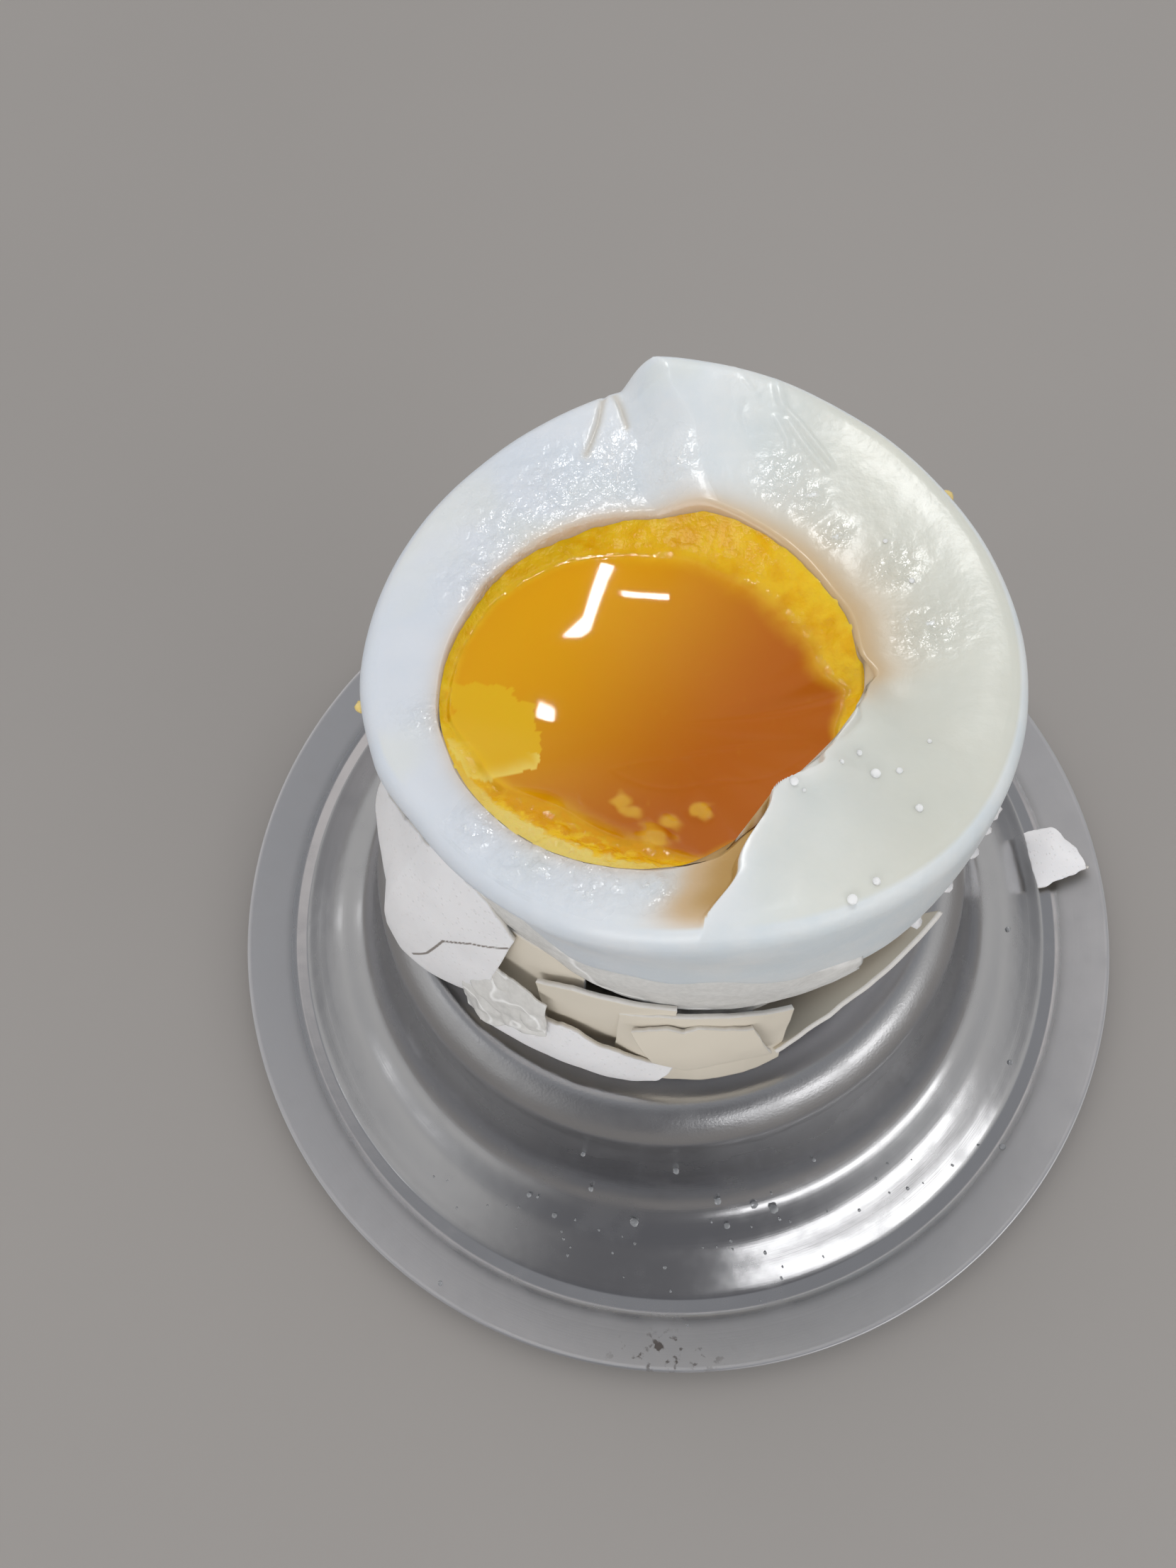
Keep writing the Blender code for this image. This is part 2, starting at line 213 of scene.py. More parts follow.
def grid_normals(grid):
    across = np.gradient(grid, axis=1)
    up = np.gradient(grid, axis=0)
    normal = np.cross(across, up)
    return normal / np.maximum(np.linalg.norm(normal, axis=-1, keepdims=True), 1e-9)


def thick_sheet(name, grid, thickness, materials):
    """A closed thin body from a grid: its outside, inside and broken edge take
    the three materials in turn."""
    rows, columns = grid.shape[:2]
    normal = grid_normals(grid)
    half = np.asarray(thickness)[..., None] * 0.5 * normal
    points = np.vstack([(grid + half).reshape(-1, 3), (grid - half).reshape(-1, 3)])
    row, column = np.meshgrid(np.arange(rows - 1), np.arange(columns - 1), indexing="ij")
    first = (row * columns + column).reshape(-1)
    front = np.stack([first, first + 1, first + columns + 1, first + columns], -1)
    back = front[:, ::-1] + rows * columns
    edge = [(0, c) for c in range(columns)] + [(r, columns - 1) for r in range(1, rows)]
    edge += [(rows - 1, c) for c in range(columns - 2, -1, -1)]
    edge += [(r, 0) for r in range(rows - 2, 0, -1)]
    loop = np.array([r * columns + c for r, c in edge])
    following = np.roll(loop, -1)
    other = rows * columns
    side = np.stack([following, loop, loop + other, following + other], -1)
    faces = np.vstack([front, back, side])
    slots = [0] * len(front) + [1] * len(back) + [2] * len(side)
    return add_object(name, points, faces, materials, slots)


def paint(piece, name, values):
    """Store one number per vertex for the materials to read."""
    layer = piece.data.attributes.new(name, "FLOAT", "POINT")
    layer.data.foreach_set("value", np.asarray(values, np.float32))


def settle(piece, slot, *nodes):
    """Put a finished piece on the model's body, in place of its plain nodes."""
    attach(piece, BODY)
    if nodes:
        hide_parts(*nodes)
    return piece


# Materials --------------------------------------------------------------------

class Value:
    """A number socket that takes part in Python expressions."""

    def __init__(self, wires, socket):
        self.wires = wires
        self.socket = socket

    def math(self, operation, *values):
        node = self.wires.node("ShaderNodeMath", {"operation": operation},
                               {k: v for k, v in enumerate(values)})
        return Value(self.wires, node.outputs[0])

    def __add__(self, other):
        return self.math("ADD", self, other)

    def __sub__(self, other):
        return self.math("SUBTRACT", self, other)

    def __rsub__(self, other):
        return self.math("SUBTRACT", other, self)

    def __mul__(self, other):
        return self.math("MULTIPLY", self, other)

    def __pow__(self, other):
        return self.math("POWER", self, other)

    __radd__ = __add__
    __rmul__ = __mul__

    def between(self, low, high):
        """Smooth 0..1 as the value goes from low to high; high may be the lower one."""
        settings = {"interpolation_type": "SMOOTHSTEP", "clamp": True}
        flip = low > high
        first, second = (high, low) if flip else (low, high)
        inputs = {"Value": self, "From Min": first, "From Max": second}
        if flip:
            inputs.update({"To Min": 1.0, "To Max": 0.0})
        node = self.wires.node("ShaderNodeMapRange", settings, inputs)
        return Value(self.wires, node.outputs[0])

    def at_most(self, other):
        return self.math("MINIMUM", self, other)

    def absolute(self):
        return self.math("ABSOLUTE", self)


class Wires:
    """The node tree of one material, or of the room."""

    def __init__(self, name, library=None, place="Object"):
        library = bpy.data.materials if library is None else library
        self.made = library.new(name)
        self.made.use_nodes = True
        self.tree = self.made.node_tree
        self.tree.nodes.clear()
        self.place = self.node("ShaderNodeTexCoord").outputs[place]
        apart = self.node("ShaderNodeSeparateXYZ", inputs={"Vector": self.place})
        self.x, self.y, self.z = (Value(self, out) for out in apart.outputs)

    def node(self, kind, settings=None, inputs=None):
        """Add any node: its settings first, then values or links for its sockets."""
        made = self.tree.nodes.new(kind)
        for key, value in (settings or {}).items():
            if key == "stops":
                self.set_stops(made.color_ramp, value)
            else:
                setattr(made, key, value)
        for key, value in (inputs or {}).items():
            if isinstance(value, Value):
                value = value.socket
            if isinstance(value, bpy.types.NodeSocket):
                self.tree.links.new(value, made.inputs[key])
            else:
                made.inputs[key].default_value = value
        return made

    @staticmethod
    def set_stops(ramp, stops):
        while len(ramp.elements) < len(stops):
            ramp.elements.new(0.5)
        for element, (position, colour) in zip(ramp.elements, stops):
            element.position = position
            element.color = colour if len(colour) == 4 else (*colour, 1.0)

    def stored(self, name):
        """A number painted on the mesh."""
        node = self.node("ShaderNodeAttribute", {"attribute_name": name})
        return Value(self, node.outputs["Fac"])

    def noise(self, size, detail=3.0, where=None, roughness=0.55):
        """Noise in 0..1 with features of a size in metres."""
        node = self.node("ShaderNodeTexNoise", None,
                         {"Vector": where or self.place, "Scale": 1.0 / size,
                          "Detail": detail, "Roughness": roughness})
        return Value(self, node.outputs["Fac"])

    def cells(self, size, where=None):
        """Distance to the nearest of scattered points, in cell widths."""
        node = self.node("ShaderNodeTexVoronoi", None,
                         {"Vector": where or self.place, "Scale": 1.0 / size})
        return Value(self, node.outputs["Distance"])

    def vector(self, x, y, z):
        node = self.node("ShaderNodeCombineXYZ", None, {"X": x, "Y": y, "Z": z})
        return node.outputs["Vector"]

    def blend(self, share, first, second):
        """Mix two colours."""
        def four(colour):
            plain = not isinstance(colour, bpy.types.NodeSocket)
            return (*colour[:3], 1.0) if plain else colour
        node = self.node("ShaderNodeMix", {"data_type": "RGBA"},
                         {0: share, 6: four(first), 7: four(second)})
        return node.outputs[2]

    def ramp(self, value, stops):
        node = self.node("ShaderNodeValToRGB", {"stops": stops}, {"Fac": value})
        return node.outputs["Color"]

    def bump(self, height, distance, strength=1.0, below=None):
        inputs = {"Height": height, "Distance": distance, "Strength": strength}
        if below is not None:
            inputs["Normal"] = below
        return self.node("ShaderNodeBump", None, inputs).outputs["Normal"]

    def finish(self, **sockets):
        """Close the tree with a Principled shader; names use _ for spaces."""
        named = {key.replace("_", " "): value for key, value in sockets.items()}
        shader = self.node("ShaderNodeBsdfPrincipled", None, named)
        self.node("ShaderNodeOutputMaterial", None, {"Surface": shader.outputs[0]})
        return self.made


# The egg's form ---------------------------------------------------------------

# Where the step between the two cuts crosses each distance back: (y, x).
STEP_LINE = [(-24.0, -0.8), (-21.4, 0.3), (-18.0, 2.3), (-13.3, 4.4), (-10.5, 7.8),
             (-6.6, 10.5), (8.0, 3.0), (16.0, 0.9), (19.2, -1.0), (22.0, -3.0)]
# How wide the step's slope is at each distance back: (y, width).
STEP_SLOPE = [(-10.0, 0.25), (4.0, 0.8), (14.0, 4.6), (19.0, 3.2), (22.0, 1.5)]
# How far each cut dips from the rim to the yolk: (azimuth, dip).
LOW_DISH = [(-180.0, 1.0), (-120.0, 1.4), (-90.0, 2.4), (-45.0, 2.4), (90.0, 3.0), (135.0, 1.5)]
HIGH_DISH = [(-90.0, 0.3), (-60.0, 0.5), (-40.0, 1.5), (-15.0, 2.8), (45.0, 3.6), (90.0, 3.2)]
DISH_WIDTH = 10.5
# How much narrower the white is below its rim: (azimuth, depth).
PINCH = [(-180.0, 0.2), (-160.0, 1.0), (-142.0, 2.5), (-125.0, 2.4), (-108.0, 1.7), (-88.0, 1.5),
         (-68.0, 0.8), (-48.0, 0.0), (150.0, 0.0)]
# Edge of the hollow round the yolk's centre: (azimuth, radius).
HOLLOW = [(-177.0, 14.3), (-159.0, 13.9), (-136.0, 13.6), (-95.0, 13.5), (-77.0, 13.3),
          (-64.0, 12.3), (-50.0, 10.9), (-40.0, 11.2), (-29.0, 11.8), (-12.0, 12.6),
          (0.0, 13.4), (5.0, 14.2), (12.0, 13.6), (28.0, 14.3), (54.0, 14.8), (89.0, 14.7),
          (137.0, 14.9), (156.0, 14.5)]
# Share of that radius at which the runny pool ends: (azimuth, share).
POOL = [(-180.0, 0.93), (-155.0, 0.84), (-125.0, 0.72), (-95.0, 0.76), (-75.0, 0.88),
        (-50.0, 0.97), (-22.0, 0.94), (-2.0, 0.88), (20.0, 0.80), (40.0, 0.78), (60.0, 0.80),
        (85.0, 0.87), (120.0, 0.93), (150.0, 0.94)]
# Where white stands over the yolk like a cliff: (azimuth, share of the height).
CLIFF = [(-100.0, 0.0), (-75.0, 0.0), (-58.0, 1.0), (-18.0, 1.0), (14.0, 0.0),
         (150.0, 0.0)]
# Planes of the cuts: height over the middle, slope to the right, slope to the back.
LOW_CUT = (5.8, 0.205, 0.077)
HIGH_CUT = (7.5, -0.19, 0.105)
# Where the high cut sags at the near rim: azimuth, half width, depth.
NOTCH = (-92.0, 13.0, 1.1)
# How far the white's edge rounds down towards the yolk, and the yolk's edge lies below it.
SOFT_EDGE = 0.35
YOLK_STEP = 0.17
YOLK_CENTRE = (-2.0, -3.5)
# Depth of the hollow, how far the pool's middle sags, and the heights of both brims.
YOLK_DEPTH = 12.0
YOLK_SAG = 2.2
BRIM = 0.9
POOL_BRIM = BRIM - 0.3
YOLK_FLOOR = BRIM - YOLK_DEPTH + 0.4
# Ridges and furrows in the cut white: (path, height, half width).
FOLDS = [
    (((-5.4, 21.4), (-6.0, 18.3), (-6.8, 15.9)), -0.22, 0.22),
    (((-4.8, 20.4), (-4.3, 19.2), (-3.9, 17.8)), -0.14, 0.18),
    (((4.5, 18.0), (4.2, 17.0), (4.7, 15.8)), -0.05, 0.2),
    (((6.7, 19.6), (6.9, 18.6), (7.1, 17.6)), 0.20, 0.30),
    (((7.2, 17.7), (8.4, 16.5), (9.9, 14.7), (10.6, 13.8)), 0.16, 0.16),
    (((6.6, 17.0), (7.4, 15.6), (7.5, 14.8)), 0.12, 0.16),
    (((7.5, 16.8), (8.4, 15.5), (10.1, 13.5)), 0.16, 0.16),
    (((3.6, 20.9), (4.4, 19.4), (5.3, 18.4)), 0.06, 0.14),
]
# Wet torn patches of the white: (x, y, radius).
TORN = [(-12.0, 10.0, 3.2), (-9.0, 13.0, 3.2), (-5.0, 14.2, 2.8), (-14.5, 6.0, 2.2),
        (-1.0, 14.0, 1.8), (7.2, 13.0, 1.6), (8.8, 11.6, 1.2), (10.6, 9.2, 1.0),
        (14.5, 6.2, 1.4), (16.0, 1.0, 1.8),
        (-9.5, -15.8, 2.2), (-6.0, -17.2, 2.2), (-12.8, -13.4, 1.8), (-17.0, -5.0, 1.4),
        (-2.5, -18.4, 1.2)]
# Outline of the thin skin floating on the pool, and of the pale film at its left.
POOL_SKIN = ((-4.9, -7.4), (-3.2, -6.8), (-1.0, -6.4), (3.0, -5.7), (5.6, -5.9), (8.2, -6.6),
             (5.2, -8.6), (1.7, -8.5), (-0.4, -8.9), (-2.3, -8.8), (-4.0, -8.1), (-4.9, -7.4))
FILM = ((-15.9, -1.6), (-15.2, -6.2), (-14.2, -9.6), (-12.5, -9.5), (-11.2, -8.6), (-9.8, -8.0),
        (-9.6, -6.2), (-9.9, -4.6), (-10.2, -2.4), (-12.0, -1.4), (-15.9, -1.6))
# Pale scraps of set yolk in the pool: (x, y, radius).
SCRAPS = [(-4.1, -10.2, 0.8), (-3.7, -11.0, 0.7), (-1.2, -11.8, 0.8), (0.6, -10.8, 0.7),
          (1.0, -11.2, 0.6), (-2.2, -13.2, 1.1)]


def patches(x, y, spots):
    """Soft 0..1 mask of round spots."""
    mask = np.zeros(np.shape(x))
    for cx, cy, size in spots:
        mask = np.maximum(mask, np.exp(-((x - cx) ** 2 + (y - cy) ** 2) / size ** 2))
    return mask


def within(x, y, outline):
    """True where points lie inside a closed outline."""
    found = np.zeros(np.shape(x), bool)
    for (ax, ay), (bx, by) in zip(outline, outline[1:]):
        if ay != by:
            crossing = ax + (y - ay) * (bx - ax) / (by - ay)
            found ^= ((ay > y) != (by > y)) & (x < crossing)
    return found


class Egg:
    """The egg's form in its own frame, in millimetres from the middle of its widest ring."""

    def __init__(self, sizes):
        self.radius = sizes.radius / MM
        self.above = sizes.above / MM
        self.below = sizes.below / MM
        self.taper = sizes.taper
        turn = Euler((-sizes.lean_back, sizes.lean_right, 0.0)).to_matrix()
        self.turn = np.array(turn)
        self.seat = np.array(sizes.seat) / MM

    def pinched(self, height, azimuth):
        """Radius of the white at a height, narrower below the rim on its near left."""
        below = smoothstep(3.5, -4.5, height) * smoothstep(-26.0, -14.0, height)
        return self.side(height) - around(PINCH, np.degrees(azimuth)) * below

    def side(self, height, grow=0.0):
        """Radius at a height, grown outward by grow."""
        height = np.asarray(height, float)
        reach = np.where(height > 0.0, self.above + grow, self.below + grow)
        share = np.clip(height / reach, -1.0, 1.0)
        narrowing = np.where(height > 0.0, 1.0, 1.0 - self.taper * share ** 2)
        return (self.radius + grow) * np.sqrt(1.0 - share ** 2) * narrowing

    def placed(self, points):
        """Points of the egg's frame, put where the egg leans in the cup."""
        return np.asarray(points) @ self.turn.T + self.seat

    def skin(self, azimuth, height):
        """Distance from the cup's axis to the egg's side at heights above the table."""
        ray = np.stack([np.cos(azimuth), np.sin(azimuth)], -1)
        near = np.zeros(np.shape(azimuth))
        far = near + 2.0 * self.radius
        for _ in range(26):
            middle = 0.5 * (near + far)
            point = np.concatenate([ray * middle[..., None], np.asarray(height)[..., None]], -1)
            local = (point - self.seat) @ self.turn
            inside = np.hypot(local[..., 0], local[..., 1]) < self.side(local[..., 2])
            near = np.where(inside, middle, near)
            far = np.where(inside, far, middle)
        return near

    def beside(self, azimuth, height, lift):
        """Points outside the egg's side by lift, level at heights above the table."""
        angle = np.radians(azimuth)
        reach = self.skin(angle, height) + lift
        return np.stack([reach * np.cos(angle), reach * np.sin(angle), height], -1)

    def past_step(self, x, y):
        return x - along(STEP_LINE, y)

    def cut(self, x, y):
        """Height of the torn cut: two dished levels, with a step between them."""
        azimuth = np.degrees(np.arctan2(y, x))
        from_rim = self.radius - np.hypot(x, y)
        inward = smoothstep(0.0, DISH_WIDTH, from_rim)
        low, high = (middle + right * x + back * y - around(dish, azimuth) * inward
                     for (middle, right, back), dish in ((LOW_CUT, LOW_DISH),
                                                         (HIGH_CUT, HIGH_DISH)))
        place, width, depth = NOTCH
        high = high - depth * np.exp(-((azimuth - place) / width) ** 2) * (1.0 - inward)
        past = self.past_step(x, y)
        slope = along(STEP_SLOPE, y)
        share = np.clip((past + slope) / (slope + 0.12), 0.0, 1.0)
        share = lerp(share, smoothstep(0.0, 1.0, share), 0.6)
        near = smoothstep(2.0, -4.0, y)
        lip = 0.85 * near * np.exp(-((past - 0.3) / 1.7) ** 2) * smoothstep(0.3, 4.0, from_rim)
        flat = np.stack([x, y, np.zeros(np.shape(x))], -1)
        height = lerp(low, high + lip, share) + 0.10 * fractal(flat, 5.5, 2, 3)
        for path, rise, width in FOLDS:
            away, place = near_line(x, y, path)
            fade = np.sin(np.pi * np.clip(place, 0.06, 0.94)) ** 0.5
            height = height + rise * fade * np.exp(-(away / width) ** 2)
        torn = patches(x, y, TORN)
        lumps = np.abs(fractal(flat, 1.25, 2, 11)) - 0.25
        return height + torn * 0.26 * lumps + 0.012 * noise(flat, 0.8, 5)

    def hollow(self, azimuth, inset=0.0):
        """Edge of the hollow at an azimuth round the yolk's centre, as x and y."""
        reach = around(HOLLOW, np.degrees(azimuth)) - inset
        return (YOLK_CENTRE[0] + reach * np.cos(azimuth),
                YOLK_CENTRE[1] + reach * np.sin(azimuth))

    def rim(self, azimuth, fillet):
        """Outermost ring just under the rounded rim: x, y and height."""
        height = np.zeros(np.shape(azimuth))
        for _ in range(8):
            reach = self.pinched(height, azimuth)
            x, y = reach * np.cos(azimuth), reach * np.sin(azimuth)
            height = self.cut(x, y) - fillet
        return x, y, height

    def ring(self, azimuth, share, fillet):
        """The cut's ring at a share of the way from the rim to the hollow, as x and y."""
        rim_x, rim_y, _ = self.rim(azimuth, fillet)
        edge_x, edge_y = self.hollow(azimuth)
        return lerp(rim_x, edge_x, share), lerp(rim_y, edge_y, share)

    def columns(self, share, count, fillet):
        """Azimuths of a ring's columns, so that one column runs down each end of the step."""
        ends = []
        for low, high in ((-2.2, -0.5), (0.9, 2.6)):
            sweep = np.linspace(low, high, 600)
            past = self.past_step(*self.ring(sweep, share, fillet))
            k = int(np.argmax(np.sign(past[1:]) != np.sign(past[:-1])))
            ends.append(sweep[k] + (sweep[k + 1] - sweep[k]) * past[k] / (past[k] - past[k + 1]))
        u = np.arange(count) / count
        u = u - 0.7 * np.sin(4.0 * np.pi * u) / (4.0 * np.pi)
        near, far = ends
        first = near + (far - near) * u / 0.5
        second = far + (near + 2.0 * np.pi - far) * (u - 0.5) / 0.5
        return np.where(u < 0.5, first, second)


def bowl_rings(egg, azimuth, inset, brim, floor, drops):
    """Rings of the round-bottomed hollow below its brim."""
    edge_x, edge_y = egg.hollow(azimuth, inset)
    rings = []
    for drop in np.radians(drops):
        x = YOLK_CENTRE[0] + (edge_x - YOLK_CENTRE[0]) * math.cos(drop)
        y = YOLK_CENTRE[1] + (edge_y - YOLK_CENTRE[1]) * math.cos(drop)
        z = np.full(np.shape(x), brim + (floor - brim) * math.sin(drop))
        rings.append(np.stack([x, y, z], -1))
    return rings


def white_rings(egg, fillet):
    """Rings of the white: up its side, round its rim, over its top and down the hollow."""
    start = egg.columns(0.0, EGG_COLUMNS, fillet)
    rim_x, rim_y, rim_z = egg.rim(start, fillet)
    rings = []
    for step in range(1, SIDE_RINGS + 1):
        share = 1.0 - math.cos(0.5 * math.pi * step / SIDE_RINGS)
        height = lerp(-egg.below, rim_z, share)
        reach = egg.pinched(height, start)
        ring = np.stack([reach * np.cos(start), reach * np.sin(start), height], -1)
        ripple = 0.10 * smoothstep(0.0, 0.6, share) * (1.0 - share)
        rings.append(ring + ripple * noise(ring, 6.0, 21)[..., None])
    away = np.hypot(rim_x, rim_y)
    for step in range(1, RIM_RINGS + 1):
        angle = 0.5 * math.pi * step / RIM_RINGS
        shrink = 1.0 - fillet * (1.0 - math.cos(angle)) / away
        x, y = rim_x * shrink, rim_y * shrink
        rings.append(np.stack([x, y, egg.cut(x, y) - fillet * (1.0 - math.sin(angle))], -1))
    for step in range(1, TOP_RINGS + 1):
        share = step / TOP_RINGS
        azimuth = egg.columns(share, EGG_COLUMNS, fillet)
        rim_x, rim_y, _ = egg.rim(azimuth, fillet)
        edge_x, edge_y = egg.hollow(azimuth)
        pull = 1.0 - fillet / np.hypot(rim_x, rim_y)
        x, y = lerp(rim_x * pull, edge_x, share), lerp(rim_y * pull, edge_y, share)
        soft = SOFT_EDGE * np.clip((share - 0.955) / 0.045, 0.0, 1.0) ** 2
        rings.append(np.stack([x, y, egg.cut(x, y) - soft], -1))
    last = egg.columns(1.0, EGG_COLUMNS, fillet)
    edge_x, edge_y = egg.hollow(last)
    top = egg.cut(edge_x, edge_y) - SOFT_EDGE
    for share in (0.2, 0.4, 0.6, 0.8):
        rings.append(np.stack([edge_x, edge_y, lerp(top, BRIM, share)], -1))
    rings += bowl_rings(egg, last, 0.0, BRIM, BRIM - YOLK_DEPTH, (0.0, 20.0, 40.0, 60.0, 78.0))
    return np.array(rings)


def make_white(egg, fillet, finish):
    """Rounded outside, soft rim, torn two-level top and the yolk's hollow."""
    grid = white_rings(egg, fillet)
    piece = turned_body("white", egg.placed(grid), egg.placed((0.0, 0.0, -egg.below)),
                        egg.placed((*YOLK_CENTRE, BRIM - YOLK_DEPTH)), [finish])
    x, y = grid[..., 0].reshape(-1), grid[..., 1].reshape(-1)
    on_top = np.repeat(np.arange(len(grid)) > SIDE_RINGS + RIM_RINGS // 2, EGG_COLUMNS)
    away_x, away_y = x - YOLK_CENTRE[0], y - YOLK_CENTRE[1]
    degrees = np.degrees(np.arctan2(away_y, away_x))
    beyond = np.hypot(away_x, away_y) - around(HOLLOW, degrees)
    reach = 0.9 + 2.0 * np.exp(-((degrees - 25.0) / 45.0) ** 2)
    stain = np.exp(-np.clip(beyond, 0.0, 20.0) / reach)
    stain = stain * (0.42 + 0.38 * np.exp(-((degrees - 20.0) / 55.0) ** 2))
    stain = stain * (1.0 - 0.85 * around(CLIFF, degrees))
    past = egg.past_step(x, y)
    smear = 1.2 * np.exp(-(past / 3.0) ** 2) * (past < 0.0) * smoothstep(-22.6, -19.0, y)
    smear = smear * smoothstep(-11.0, -14.0, y)
    # Painted shade along the two furrows, kept for the white's finish.
    crease = np.zeros(x.shape)
    for path, _, width in FOLDS[:2]:
        crease = np.maximum(crease, np.exp(-(near_line(x, y, path)[0] / (width * 1.6)) ** 2))
    for name, values in (("stain", np.maximum(stain, smear)), ("torn", patches(x, y, TORN)),
                         ("cut", 1.0), ("crease", crease)):
        paint(piece, name, np.append(values * on_top, [0.0, 0.0]))
    return piece


def yolk_rings(egg, fillet):
    """Rings of the yolk from its middle out to the white and down the hollow, and how far
    each place on its top has set: below 0 in the pool, 1 at the white."""
    azimuth = egg.columns(1.0, EGG_COLUMNS, fillet)
    degrees = np.degrees(azimuth)
    edge_x, edge_y = egg.hollow(azimuth, -0.30)
    pool = around(POOL, degrees)
    top = lerp(egg.cut(*egg.hollow(azimuth)) - YOLK_STEP, POOL_BRIM, around(CLIFF, degrees))
    outline = smooth_curve(POOL_SKIN, 3)
    rings, setting = [], []
    for step in range(1, YOLK_RINGS + 1):
        share = step / YOLK_RINGS
        x, y = lerp(YOLK_CENTRE[0], edge_x, share), lerp(YOLK_CENTRE[1], edge_y, share)
        flat = np.stack([x, y, 0.0 * x], -1)
        climb = np.clip((share - pool) / (1.0 - pool), 0.0, 1.0)
        liquid = POOL_BRIM - YOLK_SAG * (1.0 - np.clip(share / pool, 0.0, 1.0) ** 2.6)
        wall = climb ** 1.7 * (3.0 - climb) * 0.5
        level = liquid + (top - POOL_BRIM) * wall
        rough = smoothstep(0.05, 0.4, climb) * (1.0 - 0.7 * smoothstep(0.85, 1.0, climb))
        level = level + rough * (0.22 * fractal(flat, 1.6, 3, 31) + 0.05 * noise(flat, 0.5, 35))
        crumbs = rough * np.exp(-((degrees % 360.0 - 245.0) / 34.0) ** 2)
        level = level + 0.20 * crumbs * fractal(flat, 0.9, 2, 41)
        level = level + 0.022 * np.exp(-(near_line(x, y, outline)[0] / 0.2) ** 2)
        level = level + 0.16 * patches(x, y, SCRAPS) * (1.0 + 0.6 * noise(flat, 0.7, 43))
        rings.append(np.stack([x, y, level], -1))
        setting.append((share - pool) / (1.0 - pool))
    rings += bowl_rings(egg, azimuth, 0.35, POOL_BRIM, YOLK_FLOOR, (4.0, 20.0, 40.0, 60.0, 78.0))
    return np.array(rings), np.array(setting)


def make_yolk(egg, fillet, finish):
    """A glossy runny pool inside a wall of set yolk that climbs to the white."""
    grid, setting = yolk_rings(egg, fillet)
    piece = turned_body("yolk", egg.placed(grid), egg.placed((*YOLK_CENTRE, POOL_BRIM - YOLK_SAG)),
                        egg.placed((*YOLK_CENTRE, YOLK_FLOOR)), [finish])
    x, y = grid[..., 0].reshape(-1), grid[..., 1].reshape(-1)
    setting = np.append(setting.reshape(-1), np.zeros(x.size - setting.size))
    flat = np.stack([x, y, 0.0 * x], -1)
    shift = 0.5 * fractal(flat, 1.6, 3, 47)
    edge, _ = near_line(x + shift, y + shift, FILM)
    film = within(x + shift, y + shift, FILM)
    scraps = smoothstep(0.2, 0.8, patches(x, y, SCRAPS) + 0.3 * noise(flat, 0.6, 49))
    degrees = np.degrees(np.arctan2(y - YOLK_CENTRE[1], x - YOLK_CENTRE[0])) % 360.0
    for name, values in (("set", setting), ("across", x), ("back", y), ("film", film * 1.0),
                         ("film_edge", film * np.exp(-(edge / 0.7) ** 2) * (y < -6.5)),
                         ("scraps", scraps),
                         ("crumbs", np.exp(-((degrees - 243.0) / 38.0) ** 4))):
        paint(piece, name, np.append(values, [0.0, 0.0]))
    return piece


# Finishes ---------------------------------------------------------------------

def steel_finish(cup):
    """Pressed steel: satin rim and lip, brighter flare, rubbed rings, a few stains, a painted
    reflection on the rim band and painted light in the bowl.
    """
    w = Wires("pressed_steel")
    radius = (w.x * w.x + w.y * w.y) ** 0.5
    rings = w.noise(0.00016, 2.0, w.vector(radius, 0.0, w.z))
    patchy = w.noise(0.009, 3.0)
    smudge = w.noise(0.0035, 4.0)
    grain = w.noise(0.00022, 3.0)
    lip = radius.between(0.0195, 0.0205) * radius.between(0.0262, 0.0250)
    bowl = radius.between(0.0218, 0.0202)
    band = radius.between(0.0372, 0.0382)
    rough = 0.21 + 0.38 * bowl + 0.10 * lip + 0.20 * band
    rough = rough + 0.10 * (rings - 0.5) * patchy + 0.10 * smudge.between(0.45, 0.75)
    spot_x, spot_y = w.x + 0.0005, w.y + 0.0400
    near_spot = ((spot_x * spot_x * 0.12 + spot_y * spot_y) ** 0.5).between(0.0022, 0.0006)
    stain = near_spot * w.noise(0.0010, 4.0).between(0.57, 0.66) * 0.8
    tint = w.blend(patchy, tuple(0.92 * c for c in cup.steel), tuple(cup.steel))
    # Painted reflection: the rim band is painted lighter, standing in for the bright egg it
    # mirrors.
    tint = w.blend(band, tint, tuple(min(1.0, 1.28 * c) for c in cup.steel))
    # Painted light: the bowl is painted much lighter, standing in for light in the shade of the
    # egg and shell.
    tint = w.blend(bowl, tint, tuple(min(1.0, 1.75 * c) for c in cup.steel))
    tint = w.blend(stain, tint, (0.10, 0.07, 0.05))
    fine = w.bump(grain * (0.25 + 2.2 * lip + bowl) + 0.6 * rings, 0.00001, 0.7)
    marks = w.noise(0.004, 2.0)
    normal = w.bump(marks, 0.00008, 0.5, fine)
    return w.finish(Base_Color=tint, Metallic=1.0 - 0.6 * stain, Roughness=rough + 0.3 * stain,
                    Normal=normal)


